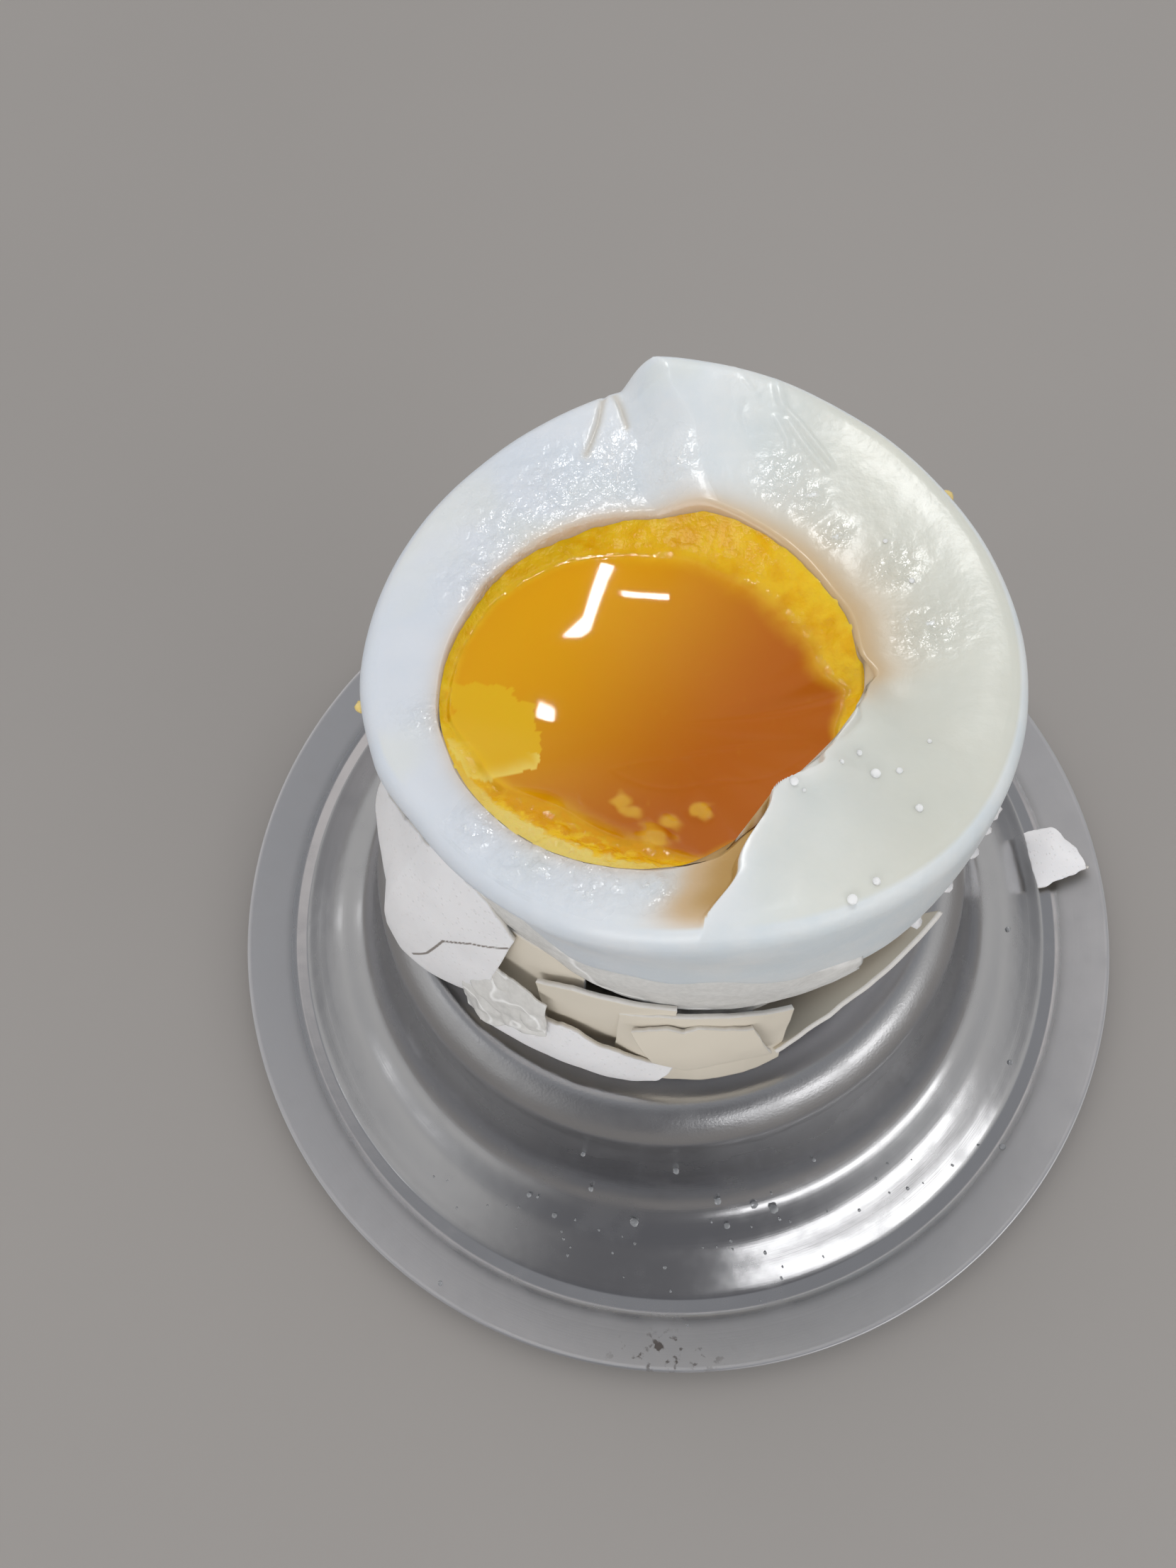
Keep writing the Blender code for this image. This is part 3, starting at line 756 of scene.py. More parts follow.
def white_finish(egg):
    """Set egg white: a cloudy, wet, slightly see-through gel, with painted shade in two furrows
    and painted glints on its torn patches.
    """
    w = Wires("set_white")
    stain, torn, cut = w.stored("stain"), w.stored("torn"), w.stored("cut")
    crease = w.stored("crease")
    cloud = w.noise(0.0045, 4.0)
    warm = w.noise(0.009, 2.0)
    colour = w.blend(cloud.between(0.3, 0.7), tuple(egg.white), (0.66, 0.72, 0.75))
    colour = w.blend(w.x.between(0.010, -0.014) * 0.6, colour, (0.62, 0.66, 0.74))
    colour = w.blend(cut * w.x.between(0.002, 0.016) * 0.75, colour, (0.62, 0.62, 0.53))
    colour = w.blend(cut * warm.between(0.45, 0.7) * 0.4, colour, (0.74, 0.74, 0.66))
    colour = w.blend(stain.between(0.02, 0.7) * 0.9, colour, (0.60, 0.42, 0.22))
    colour = w.blend(stain.between(0.55, 1.2) * 0.85, colour, (0.46, 0.27, 0.06))
    # Painted shade: darker, browner colour along the two furrows.
    colour = w.blend(crease * 0.5, colour, (0.55, 0.48, 0.36))
    # Painted glints: pale specks over the torn patches stand in for wet sparkle; they also raise
    # the bump.
    painted_glints = w.noise(0.0008, 3.0).between(0.60, 0.72) * torn.between(0.15, 0.9)
    colour = w.blend(painted_glints * 0.7, colour, (0.93, 0.95, 0.96))
    rough = 0.30 - 0.17 * torn + 0.10 * w.noise(0.002, 3.0) - 0.05 * cut
    lumps = w.noise(0.0011, 3.0) * (0.25 + 2.6 * torn)
    normal = w.bump(lumps + 0.5 * painted_glints, 0.00018, 0.9)
    return w.finish(Base_Color=colour, Roughness=rough, Normal=normal, Subsurface_Weight=0.55,
                    Subsurface_Radius=(1.0, 0.92, 0.85), Subsurface_Scale=0.0016,
                    Specular_IOR_Level=0.5)


def yolk_finish(egg):
    """Runny yolk: deep orange and glossy, paler and duller where it has set."""
    w = Wires("runny_yolk")
    setting, across, back = w.stored("set"), w.stored("across"), w.stored("back")
    crumbs = w.stored("crumbs")
    toward = across - 0.7 * back
    mottle = w.noise(0.0021, 4.0)
    fine = w.noise(0.0009, 4.0)
    deep = w.blend(toward.between(-15.0, 8.0), tuple(egg.yolk_pale), tuple(egg.yolk_deep))
    pale = w.blend(mottle.between(0.30, 0.60), (0.78, 0.42, 0.004), (0.85, 0.55, 0.02))
    colour = w.blend((setting + 0.25 * (mottle - 0.5)).between(-0.45, 0.55), deep, pale)
    grit = crumbs * setting.between(0.0, 0.1) * setting.between(0.75, 0.4)
    colour = w.blend(grit * fine.between(0.40, 0.55), colour, (0.72, 0.33, 0.002))
    ring = crumbs * (setting + 0.6 * (fine - 0.5)).between(0.5, 0.66)
    colour = w.blend(ring, colour, (0.80, 0.62, 0.16))
    colour = w.blend(w.stored("film") * 0.75, colour, (0.79, 0.50, 0.010))
    colour = w.blend(w.stored("film_edge") * 0.7, colour, (0.86, 0.68, 0.16))
    colour = w.blend(w.stored("scraps") * 0.5, colour, (0.84, 0.56, 0.06))
    colour = w.blend(setting.between(0.86, 1.0) * 0.6, colour, (0.84, 0.66, 0.30))
    rough = 0.045 + 0.14 * setting.between(0.02, 0.3) * mottle + 0.20 * ring
    bumps = (fine + 0.6 * mottle) * setting.between(0.02, 0.3)
    normal = w.bump(bumps, 0.00022, 0.9)
    return w.finish(Base_Color=colour, Roughness=rough, Normal=normal, Subsurface_Weight=0.25,
                    Subsurface_Radius=(1.0, 0.40, 0.05), Subsurface_Scale=0.0010,
                    Specular_IOR_Level=0.26)


def shell_finish(shell):
    """The shell's outside: matte, faintly pored and blotched."""
    w = Wires("shell_outside")
    blotch = w.noise(0.006, 4.0)
    colour = w.blend(blotch.between(0.35, 0.7), tuple(shell.outside),
                     tuple(0.93 * c for c in shell.outside))
    pores = w.cells(0.00042)
    colour = w.blend(pores.between(0.16, 0.06) * 0.18, colour, (0.55, 0.50, 0.46))
    colour = w.blend(w.stored("crack").between(0.25, 0.8), colour, (0.24, 0.21, 0.19))
    height = pores.between(0.05, 0.30) + 0.8 * w.noise(0.0016, 3.0)
    return w.finish(Base_Color=colour, Roughness=0.46 + 0.16 * blotch,
                    Normal=w.bump(height, 0.00004, 0.8), Subsurface_Weight=0.15,
                    Subsurface_Radius=(1.0, 0.8, 0.7), Subsurface_Scale=0.0008)


def inside_finish(shell):
    """The shell's inside: beige, with the membrane's sheen and darker damp clouds."""
    w = Wires("shell_inside")
    cloud = w.noise(0.0035, 4.0)
    colour = w.blend(cloud.between(0.3, 0.72), tuple(shell.inside),
                     tuple(0.84 * c for c in shell.inside))
    fibres = w.noise(0.0004, 4.0)
    colour = w.blend(fibres.between(0.55, 0.75) * 0.2, colour, (0.86, 0.80, 0.68))
    return w.finish(Base_Color=colour, Roughness=0.36 + 0.2 * cloud,
                    Normal=w.bump(fibres + cloud, 0.00005, 0.7), Subsurface_Weight=0.25,
                    Subsurface_Radius=(1.0, 0.8, 0.6), Subsurface_Scale=0.0008)


def broken_finish():
    """The chalky broken edge of the shell."""
    w = Wires("shell_edge")
    chalk = w.noise(0.0005, 4.0)
    colour = w.blend(chalk, (0.86, 0.84, 0.81), (0.74, 0.70, 0.64))
    return w.finish(Base_Color=colour, Roughness=0.6 + 0.15 * chalk,
                    Normal=w.bump(chalk, 0.00006, 0.8))


def membrane_finish(shell, name, fold):
    """Wet membrane: thin, see-through and crinkled, with bright folds of a size in metres."""
    w = Wires(name)
    folds = w.noise(fold, 2.0)
    threads = w.noise(0.0004, 3.0)
    bright = (folds - 0.5).absolute().between(0.030, 0.0)
    colour = w.blend(folds.between(0.35, 0.65), tuple(shell.membrane), (0.86, 0.85, 0.82))
    colour = w.blend(bright * 0.6, colour, (0.93, 0.93, 0.92))
    return w.finish(Base_Color=colour, Roughness=0.10 + 0.15 * threads,
                    Normal=w.bump(folds + 0.1 * threads, 0.00030, 0.9),
                    Alpha=(0.58 + 0.3 * bright + 0.25 * threads).at_most(1.0))


def crystal_finish(name):
    """Grains of salt and drops: clear with cloudy cores."""
    w = Wires(name)
    cloud = w.noise(0.0003, 3.0)
    colour = w.blend(cloud, (0.95, 0.96, 0.97), (0.80, 0.83, 0.86))
    return w.finish(Base_Color=colour, Roughness=0.08 + 0.25 * cloud, Transmission_Weight=0.6,
                    IOR=1.54, Normal=w.bump(cloud, 0.00003, 0.6))


def droplet_finish():
    """Beads of water, painted near white as painted highlights so that they read as bright glints.
    """
    w = Wires("water_bead")
    ripple = w.noise(0.0006, 2.0)
    colour = w.blend(ripple, (0.97, 0.98, 0.98), (0.90, 0.93, 0.94))
    return w.finish(Base_Color=colour, Roughness=0.03 + 0.04 * ripple, Subsurface_Weight=0.7,
                    Subsurface_Radius=(1.0, 1.0, 1.0), Subsurface_Scale=0.0008)


def spilt_yolk_finish(egg):
    """Dried drips of yolk and white on the egg's rim."""
    w = Wires("spilt_yolk")
    cloud = w.noise(0.0006, 3.0)
    colour = w.blend(cloud, (0.80, 0.66, 0.30), (0.72, 0.50, 0.14))
    return w.finish(Base_Color=colour, Roughness=0.2 + 0.2 * cloud, Subsurface_Weight=0.4,
                    Subsurface_Radius=(1.0, 0.7, 0.3), Subsurface_Scale=0.0006,
                    Normal=w.bump(cloud, 0.00005, 0.6))


# Cup --------------------------------------------------------------------------

def make_cup(cup, finish):
    """One pressed sheet: bowl, rolled lip, flared neck, trough and flat rim."""
    lip, top, floor = cup.lip_radius / MM, cup.lip_height / MM, cup.bowl_floor / MM
    sheet, outer, rim = cup.sheet / MM, cup.radius / MM, cup.rim_height / MM
    low = sheet + 0.05
    bowl = [(0.0, floor), (8.5, floor + 0.9), (14.6, floor + 4.2), (18.2, floor + 8.6),
            (20.0, top - 1.9)]
    roll = [(lip, top), (lip + 2.5, top - 2.2)]
    neck = [(lip + 3.0, 14.4), (lip + 4.8, 8.6), (lip + 7.0, 5.2)]
    trough = [(32.0, 3.5), (34.4, 1.75), (36.0, low), (37.0, low)]
    edge = [(38.4, 1.3), (outer - 0.25, rim)]
    upper = smooth_curve(bowl + roll + neck + trough + edge, 12)
    upper[:, 1] = np.maximum(upper[:, 1], low)
    run = np.gradient(upper, axis=0)
    run = run / np.linalg.norm(run, axis=1, keepdims=True)
    under = upper + np.stack([run[:, 1], -run[:, 0]], -1) * sheet
    under[:, 1] = np.where(upper[:, 1] < low + 0.3, 0.0, np.maximum(under[:, 1], 0.0))
    under[:, 0] = np.minimum(under[:, 0], outer - 0.25)
    turn = np.linspace(0.0, math.pi, 7)[1:-1]
    middle = 0.5 * (upper[-1] + under[-1])
    nose = np.stack([middle[0] + 0.25 * np.sin(turn), middle[1] + 0.5 * sheet * np.cos(turn)], -1)
    profile = np.vstack([upper[1:], nose, under[:0:-1]])
    turn = 2.0 * math.pi * np.arange(CUP_COLUMNS) / CUP_COLUMNS
    rings = np.stack([profile[:, :1] * np.cos(turn), profile[:, :1] * np.sin(turn),
                      profile[:, 1:] + 0.0 * turn], -1)
    standing = (profile[:, 1] > 0.01)[:, None]
    rings[..., 2] += np.where(standing, 0.02 * fractal(rings, 11.0, 2, 51), 0.0)
    return turned_body("cup", rings, (0.0, 0.0, floor), (0.0, 0.0, floor - sheet), [finish])


# Shell ------------------------------------------------------------------------

# Broken edge of the shell that is still on the egg, in the egg's frame: (azimuth, height).
BASE_EDGE = [(-180.0, -13.0), (-165.0, -17.5), (-140.0, -20.5), (-115.0, -19.0), (-90.0, -21.0),
             (-60.0, -18.5), (-35.0, -14.0), (-20.0, -10.0), (-5.0, -8.5), (12.0, -10.5),
             (30.0, -7.5), (52.0, -9.5), (70.0, -6.8), (92.0, -8.6), (110.0, -6.4),
             (128.0, -9.4), (146.0, -8.0), (163.0, -11.5)]
# Broken pieces in the gap between the egg and the lip: an upper and a lower edge, each a
# list of (azimuth, height above the table, distance off the egg).
PLATE_LEFT = (
    [(-176, 36.0, -0.2), (-169, 37.2, -0.8), (-162, 38.2, -1.2), (-156, 38.8, -1.6),
     (-150, 39.0, -2.1), (-144, 38.6, -2.3), (-137, 37.6, -2.1), (-128, 35.0, -1.2)],
    [(-173, 28.4, 3.2), (-168, 26.0, 4.6), (-162, 24.4, 5.7), (-159, 22.4, 8.0),
     (-154, 22.2, 8.0), (-148, 22.2, 7.2), (-142, 22.8, 6.0), (-134, 25.0, 4.1)])
# A crack in the left plate: (azimuth, height above the table).
PLATE_CRACK = ((-150.0, 25.0), (-146.0, 28.0), (-143.0, 31.5), (-137.0, 33.2), (-129.0, 34.5))
WALL_LEFT = (
    [(-142, 34.6, -1.6), (-133, 35.4, -1.9), (-123, 35.4, -1.9), (-110, 34.6, -1.5)],
    [(-140, 22.0, 4.2), (-132, 20.6, 4.5), (-123, 20.0, 4.4), (-111, 20.0, 3.9)])
WALL_MIDDLE = (
    [(-121, 32.4, 0.1), (-112, 34.0, -0.4), (-102, 33.6, -0.5), (-88, 33.0, -0.4)],
    [(-118, 20.4, 4.6), (-111, 20.2, 4.5), (-103, 20.2, 4.5), (-93, 20.2, 4.6)])
PLATE_FRONT = (
    [(-132, 23.8, 5.6), (-127, 26.2, 3.7), (-119, 27.8, 2.6), (-112, 27.4, 2.6),
     (-104, 26.2, 3.1), (-97, 25.2, 3.6), (-89, 24.4, 4.1)],
    [(-133, 21.9, 6.5), (-125, 21.5, 6.5), (-117, 21.4, 6.3), (-109, 21.5, 6.2),
     (-103, 21.5, 6.2), (-98, 21.5, 6.1), (-94, 22.4, 5.6)])
WALL_FRONT = (
    [(-101, 31.6, 0.2), (-92, 32.4, 0.0), (-82, 32.4, 0.0), (-73, 31.6, 0.2), (-62, 29.6, 0.6)],
    [(-103, 20.6, 5.2), (-93, 20.8, 5.8), (-83, 21.0, 5.9), (-74, 21.2, 5.7), (-66, 21.4, 5.2)])
SHARD_FRONT = (
    [(-98, 30.4, 1.2), (-90, 31.6, 0.8), (-82, 31.4, 0.9), (-72, 30.2, 1.2)],
    [(-93, 26.6, 3.4), (-87, 25.0, 4.1), (-80, 25.6, 3.7), (-68, 24.8, 3.8)])
STRIP_RIGHT = (
    [(-67, 23.8, 4.2), (-58, 24.8, 3.2), (-51, 25.8, 2.7), (-43, 26.8, 2.3),
     (-35, 28.0, 2.1), (-26, 29.6, 1.9)],
    [(-66, 20.4, 1.4), (-57, 20.4, 1.2), (-50, 21.0, 1.1), (-43, 22.0, 1.1),
     (-35, 23.6, 1.1), (-27, 25.6, 1.2)])
MEMBRANE_FLAP = (
    [(-139, 31.0, 1.2), (-133, 31.6, 0.9), (-126, 31.4, 0.9), (-117, 30.6, 1.4)],
    [(-136, 23.2, 6.0), (-131, 23.6, 6.0), (-124, 25.4, 4.7), (-116, 27.0, 3.7)])
# Torn skin still clinging round the near side of the white.
COLLAR = (
    [(-156, 41.0, -2.2), (-140, 40.4, -3.0), (-124, 39.8, -2.9), (-108, 39.2, -2.3),
     (-90, 39.0, -2.1), (-70, 38.2, -1.5), (-48, 36.6, -0.8)],
    [(-155, 38.6, -1.6), (-140, 36.8, -2.0), (-124, 35.6, -1.9), (-108, 34.4, -1.2),
     (-90, 32.0, -0.6), (-70, 32.0, -0.3), (-49, 33.8, 0.1)])


# Roughly how far one degree of azimuth goes along the egg's side.
MM_PER_DEGREE = 0.36
# Corners of the flake on the saucer.
FLAKE = ((35.5, 0.6, 2.0), (40.0, 2.2, 3.6), (37.4, 6.4, 2.8), (34.9, 6.1, 2.0))
# Name, edges, bulge, material slot, roughness of the edges, seed, and whether the beige
# side faces out.
FRAGMENTS = (("plate_left", PLATE_LEFT, 0.4, "shell", 0.45, 101, False),
             ("wall_left", WALL_LEFT, -0.3, "shell_inside", 0.15, 111, True),
             ("wall_middle", WALL_MIDDLE, -0.3, "shell_inside", 0.15, 121, True),
             ("plate_front", PLATE_FRONT, 0.3, "shell", 0.28, 131, False),
             ("wall_front", WALL_FRONT, -0.3, "shell_inside", 0.15, 141, True),
             ("shard_front", SHARD_FRONT, 0.2, "shell_inside", 0.30, 151, True),
             ("strip_right", STRIP_RIGHT, 0.1, "shell_inside", 0.12, 161, False))


def make_shell_base(egg, thickness, materials):
    """The lower shell, still round the egg, with its jagged broken edge."""
    azimuth = 2.0 * math.pi * np.arange(SHELL_COLUMNS) / SHELL_COLUMNS
    ring = np.stack([np.cos(azimuth), np.sin(azimuth), 0.0 * azimuth], -1) * egg.radius
    places = [p[0] for p in BASE_EDGE] + [180.0]
    heights = [p[1] for p in BASE_EDGE] + [BASE_EDGE[0][1]]
    degrees = (np.degrees(azimuth) + 180.0) % 360.0 - 180.0
    top = np.interp(degrees, places, heights)
    top = top + 0.5 * fractal(ring, 3.0, 3, 61) + 0.12 * noise(ring, 0.5, 67)
    inner, outer = 0.3, 0.3 + thickness
    rings, kinds = [], []
    shares = 1.0 - np.cos(0.5 * math.pi * np.arange(1, SHELL_RINGS + 1) / SHELL_RINGS)
    for grow, order, kind in ((outer, shares, 0), (inner, shares[::-1], 1)):
        for share in order:
            height = lerp(-egg.below - grow, top, share)
            reach = egg.side(height, grow)
            rings.append(np.stack([reach * np.cos(azimuth), reach * np.sin(azimuth), height], -1))
            kinds.append(kind)
    piece = turned_body("base_shell", egg.placed(np.array(rings)),
                        egg.placed((0.0, 0.0, -egg.below - outer)),
                        egg.placed((0.0, 0.0, -egg.below - inner)), materials)
    slots = np.zeros(len(piece.data.polygons), np.int32)
    for k in range(len(rings) - 1):
        kind = 2 if kinds[k] != kinds[k + 1] else kinds[k]
        slots[k * SHELL_COLUMNS:(k + 1) * SHELL_COLUMNS] = kind
    piece.data.polygons.foreach_set("material_index", slots)
    return piece


def zigzag(line, step, seed):
    """Straight runs between scattered heights in -1..1, as a brittle edge breaks."""
    knots = np.arange(int(line.max() / step) + 2)
    return np.interp(line / step, knots, noise(np.stack([knots * 0.73] * 3, -1), 1.0, seed))


def fragment_grid(egg, edges, bulge, jag, seed):
    """A curved grid between an upper and a lower broken edge; jag roughens its outline."""
    upper, lower = (np.array(edge, float) for edge in edges)
    line = np.linspace(0.0, 3.0 * len(upper), FRAGMENT_COLUMNS)
    tall = np.mean(np.abs(upper[:, 1] - lower[:, 1])) + 1.5
    top = 1.0 + jag / tall * (zigzag(line, 1.9, seed) + 0.4 * zigzag(line, 0.6, seed + 5))
    foot = jag / tall * (zigzag(line, 2.1, seed + 9) + 0.4 * zigzag(line, 0.7, seed + 7))
    share = lerp(foot, top, np.linspace(0.0, 1.0, FRAGMENT_ROWS)[:, None])
    down = np.linspace(0.0, 6.0, FRAGMENT_ROWS)
    ends = [jag * 0.16 * zigzag(down, 1.1, seed + k)[:, None] for k in (13, 17)]
    place = (len(upper) - 1.0) * np.linspace(0.0, 1.0, FRAGMENT_COLUMNS) + 0.0 * share
    reach = place / (len(upper) - 1.0)
    place = place + ends[0] * (1.0 - reach) ** 6 + ends[1] * reach ** 6
    index = np.arange(len(upper))
    values = []
    for k in range(3):
        high, low = np.interp(place, index, upper[:, k]), np.interp(place, index, lower[:, k])
        spread = place - np.clip(place, 0.0, index[-1])
        values.append(lerp(low, high, share) + (4.5 * spread if k == 0 else 0.0))
    azimuth, height, lift = values
    return egg.beside(azimuth, height, lift + bulge * 4.0 * share * (1.0 - share))


def make_fragment(egg, name, edges, bulge, materials, thickness, jag, seed, crumple=0.0,
                  crack=None):
    """A broken piece beside the egg; crumple wrinkles it, crack is a line to paint on it."""
    grid = fragment_grid(egg, edges, bulge, jag, seed)
    normal = grid_normals(grid)
    bend = 0.07 * fractal(grid, 3.2, 2, seed + 21)
    if crumple:
        bend = bend + crumple * (np.abs(fractal(grid, 1.9, 2, seed + 23)) - 0.3)
    piece = thick_sheet(name, grid + normal * bend[..., None],
                        np.full(grid.shape[:2], thickness), materials)
    if crack:
        degrees = np.degrees(np.arctan2(grid[..., 1], grid[..., 0]))
        line = [(MM_PER_DEGREE * azimuth, height) for azimuth, height in crack]
        away, _ = near_line(MM_PER_DEGREE * degrees, grid[..., 2], line)
        paint(piece, "crack", np.tile(np.exp(-(away / 0.11) ** 2).reshape(-1), 2))
    return piece


def make_flake(thickness, materials):
    """The four-cornered flake that fell on the saucer, hollow side down."""
    share = np.linspace(0.0, 1.0, FLAKE_ROWS)
    u, v = share[None, :, None], share[:, None, None]
    a, b, c, d = np.array(FLAKE)
    grid = lerp(lerp(a, b, u), lerp(d, c, u), v)
    edge = np.maximum(np.abs(2.0 * u - 1.0), np.abs(2.0 * v - 1.0)) ** 8
    tear = np.stack([fractal(grid, 1.4, 3, 81), fractal(grid, 1.4, 3, 85),
                     np.zeros(grid.shape[:2])], -1)
    swell = 8.0 * u * (1.0 - u) * v * (1.0 - v)
    grid = grid + 0.22 * tear * edge
    grid[..., 2] += swell[..., 0] + 0.04 * fractal(grid, 2.4, 2, 89)
    return thick_sheet("flake", grid, np.full(grid.shape[:2], thickness), materials)


def make_grains(name, spots, finish, seed, flat=1.0, rough=0.35):
    """Small lumps at (x, y, z, size) spots, as one piece; flat squashes them."""
    turn = 2.0 * math.pi * np.arange(GRAIN_COLUMNS) / GRAIN_COLUMNS
    unit = []
    for ring in range(1, GRAIN_RINGS + 1):
        tilt = math.pi * ring / (GRAIN_RINGS + 1)
        unit.append(np.stack([math.sin(tilt) * np.cos(turn), math.sin(tilt) * np.sin(turn),
                              np.full(GRAIN_COLUMNS, -math.cos(tilt))], -1))
    unit = np.vstack(unit + [[[0.0, 0.0, -1.0]], [[0.0, 0.0, 1.0]]])
    one = closed_faces(GRAIN_RINGS, GRAIN_COLUMNS)
    points, faces = [], []
    for index, (x, y, z, size) in enumerate(spots):
        blob = unit * (1.0 + rough * fractal(unit, 1.1, 2, seed + index)[:, None])
        blob = blob * np.array([1.0, 1.0, flat]) * size
        faces += [tuple(v + len(points) * len(unit) for v in face) for face in one]
        points.append(blob + np.array([x, y, z]))
    return add_object(name, np.vstack(points), faces, [finish])


# The saucer's upper side: (distances from its middle, heights).
SAUCER_TOP = ((25.0, 26.8, 29.0, 32.0, 34.4, 36.0, 37.0, 38.4, 41.0),
              (14.4, 8.6, 5.2, 3.5, 1.75, 0.75, 0.75, 1.3, 2.4))
SALT_COUNT = 44
# Splashes on the saucer: (azimuth, distance, size).
SPLASHES = ((-106, 25.8, 0.2), (-104, 28.1, 0.22), (-89, 26.0, 0.3), (-109, 31.0, 0.24),
            (-96, 30.0, 0.34), (-81, 30.4, 0.26), (-82, 28.4, 0.3), (-76, 29.2, 0.3),
            (-73, 29.9, 0.36), (-114, 30.3, 0.2), (-38, 37.5, 0.3), (-27, 34.8, 0.24),
            (-7, 32.0, 0.24), (-120, 40.3, 0.2), (-91, 33.4, 0.16), (-64, 27.6, 0.16))
# Beads of water on the cut white: (x, y, size).
BEADS = ((5.8, -12.6, 0.30), (11.1, -10.7, 0.34), (13.4, -13.1, 0.26), (10.2, -9.4, 0.2),
         (12.6, -10.4, 0.22), (8.9, -10.6, 0.16), (8.7, -19.4, 0.32), (10.2, -18.2, 0.26),
         (6.4, -12.9, 0.14), (14.8, -8.0, 0.16), (15.4, 5.0, 0.2), (13.9, 8.2, 0.18))
# Bits of shell on the egg's right side: (azimuth, height above the table, size).
BITS = ((-12.0, 37.0, 0.55), (-15.0, 36.2, 0.4), (-19.0, 35.6, 0.5), (-26.0, 34.4, 0.42),
        (-33.0, 33.0, 0.5), (-9.0, 37.8, 0.3))
# Dried drips just under the white's rim: (azimuth, drop below the rim, size).
DRIPS = ((33.0, 0.2, 0.55), (34.5, 0.7, 0.4), (187.0, 0.6, 0.45), (186.0, 1.1, 0.35))
DRIP_ROUNDING = 1.1


def on_saucer(azimuth, reach, size, lift):
    """A spot for a grain on the saucer, raised by a share of its size."""
    turn = math.radians(azimuth)
    height = float(np.interp(reach, *SAUCER_TOP))
    return reach * math.cos(turn), reach * math.sin(turn), height + lift * size, size


def scatter(seed, count):
    """Repeatable numbers in 0..1, one row of four for each grain."""
    place = np.arange(count * 4).reshape(count, 4) * 7.7
    return 0.5 + 0.5 * noise(np.stack([place, 0.3 * place, 0.1 * place], -1), 1.0, seed)


# Properties -------------------------------------------------------------------

def length(name, description, default):
    return FloatProperty(name=name, description=description, default=default, min=0.0,
                         unit="LENGTH", precision=5)


def colour(name, description, default):
    return FloatVectorProperty(name=name, description=description, default=default, size=3,
                               subtype="COLOR", min=0.0, max=1.0)


class CupSizes(PropertyGroup):
    radius: length("Saucer radius", "Radius of the saucer's outer edge",
                   0.5 * (CUP_BOX[1].x - CUP_BOX[0].x))
    sheet: length("Sheet", "Thickness of the steel sheet", 0.0007)
    lip_radius: length("Lip radius", "Radius of the rolled lip's crest", 0.022)
    lip_height: length("Lip height", "Height of the rolled lip's crest", 0.021)
    bowl_floor: length("Bowl floor", "Height of the inside of the bowl", 0.0074)
    rim_height: length("Rim height", "Height of the saucer's outer edge", 0.0025)
    steel: colour("Steel", "Reflected colour of the steel", (0.50, 0.50, 0.51))


class EggSizes(PropertyGroup):
    radius: length("Radius", "Radius of the white at its widest ring", 0.0223)
    above: length("Upper half", "Height of the whole egg above its widest ring", 0.026)
    below: length("Lower half", "Depth of the egg below its widest ring", 0.032)
    taper: FloatProperty(name="Taper", description="Narrowing of the lower end", default=0.12,
                         min=0.0, max=0.4)
    lean_back: FloatProperty(name="Lean back", description="Tilt away from the near side",
                             default=math.radians(10.0), subtype="ANGLE")
    lean_right: FloatProperty(name="Lean right", description="Tilt to the right",
                              default=math.radians(2.0), subtype="ANGLE")
    seat: FloatVectorProperty(name="Seat", description="Middle of the widest ring",
                              default=(0.0014, 0.0047, 0.0403), size=3, subtype="TRANSLATION",
                              unit="LENGTH")
    fillet: length("Rounding", "Rounding of the white's rim", 0.0015)
    white: colour("White", "Colour of the set white", (0.74, 0.77, 0.775))
    yolk_pale: colour("Pale yolk", "Yolk on the far left", (0.76, 0.37, 0.001))
    yolk_deep: colour("Deep yolk", "Yolk on the near right", (0.46, 0.115, 0.0))


class ShellSizes(PropertyGroup):
    thickness: length("Thickness", "Thickness of the shell", 0.00038)
    membrane_thickness: length("Membrane", "Thickness of the loose membrane", 0.00016)
    outside: colour("Outside", "Colour of the shell's outside", (0.86, 0.85, 0.86))
    inside: colour("Inside", "Colour of the shell's inside", (0.76, 0.68, 0.54))
    membrane: colour("Membrane", "Colour of the membrane", (0.86, 0.85, 0.82))


class StageSizes(PropertyGroup):
    floor: colour("Floor", "Colour of the floor", (0.60, 0.57, 0.54))
    camera: FloatVectorProperty(name="Camera", description="Where the camera stands",
                                default=(0.0, -0.0320, 0.1090), size=3,
                                subtype="TRANSLATION", unit="LENGTH")
    pitch: FloatProperty(name="Pitch", description="Tilt up from looking straight down",
                         default=math.radians(22.3), subtype="ANGLE")
    yaw: FloatProperty(name="Yaw", description="Tilt to the side",
                       default=math.radians(4.2), subtype="ANGLE")
    roll: FloatProperty(name="Roll", description="Turn about the line of sight",
                        default=math.radians(0.8), subtype="ANGLE")
    lens: FloatProperty(name="Lens", description="Focal length in millimetres", default=26.04,
                        min=1.0)
    key_power: FloatProperty(name="Window", description="Power of the window light in watts",
                             default=0.8, min=0.0)
    fill_power: FloatProperty(name="Fill", description="Power of the side lights in watts",
                              default=0.6, min=0.0)
    world: FloatProperty(name="Room", description="Strength of the room's light", default=0.70,
                         min=0.0)


# Operators --------------------------------------------------------------------

def shell_materials(shell):
    """The outside, inside and edge finishes, made once and shared."""
    made = []
    for name, build in (("shell_outside", lambda: shell_finish(shell)),
                        ("shell_inside", lambda: inside_finish(shell)),
                        ("shell_edge", broken_finish)):
        made.append(bpy.data.materials.get(name) or build())
    return made


class BuildCup(Operator):
    """Build the pressed steel egg cup with its saucer"""
    bl_idname = "egg.cup"
    bl_label = "Cup"

    def execute(self, context):
        cup = context.scene.cup_sizes
        settle(make_cup(cup, steel_finish(cup)), "steel", "egg_cup")
        return {"FINISHED"}


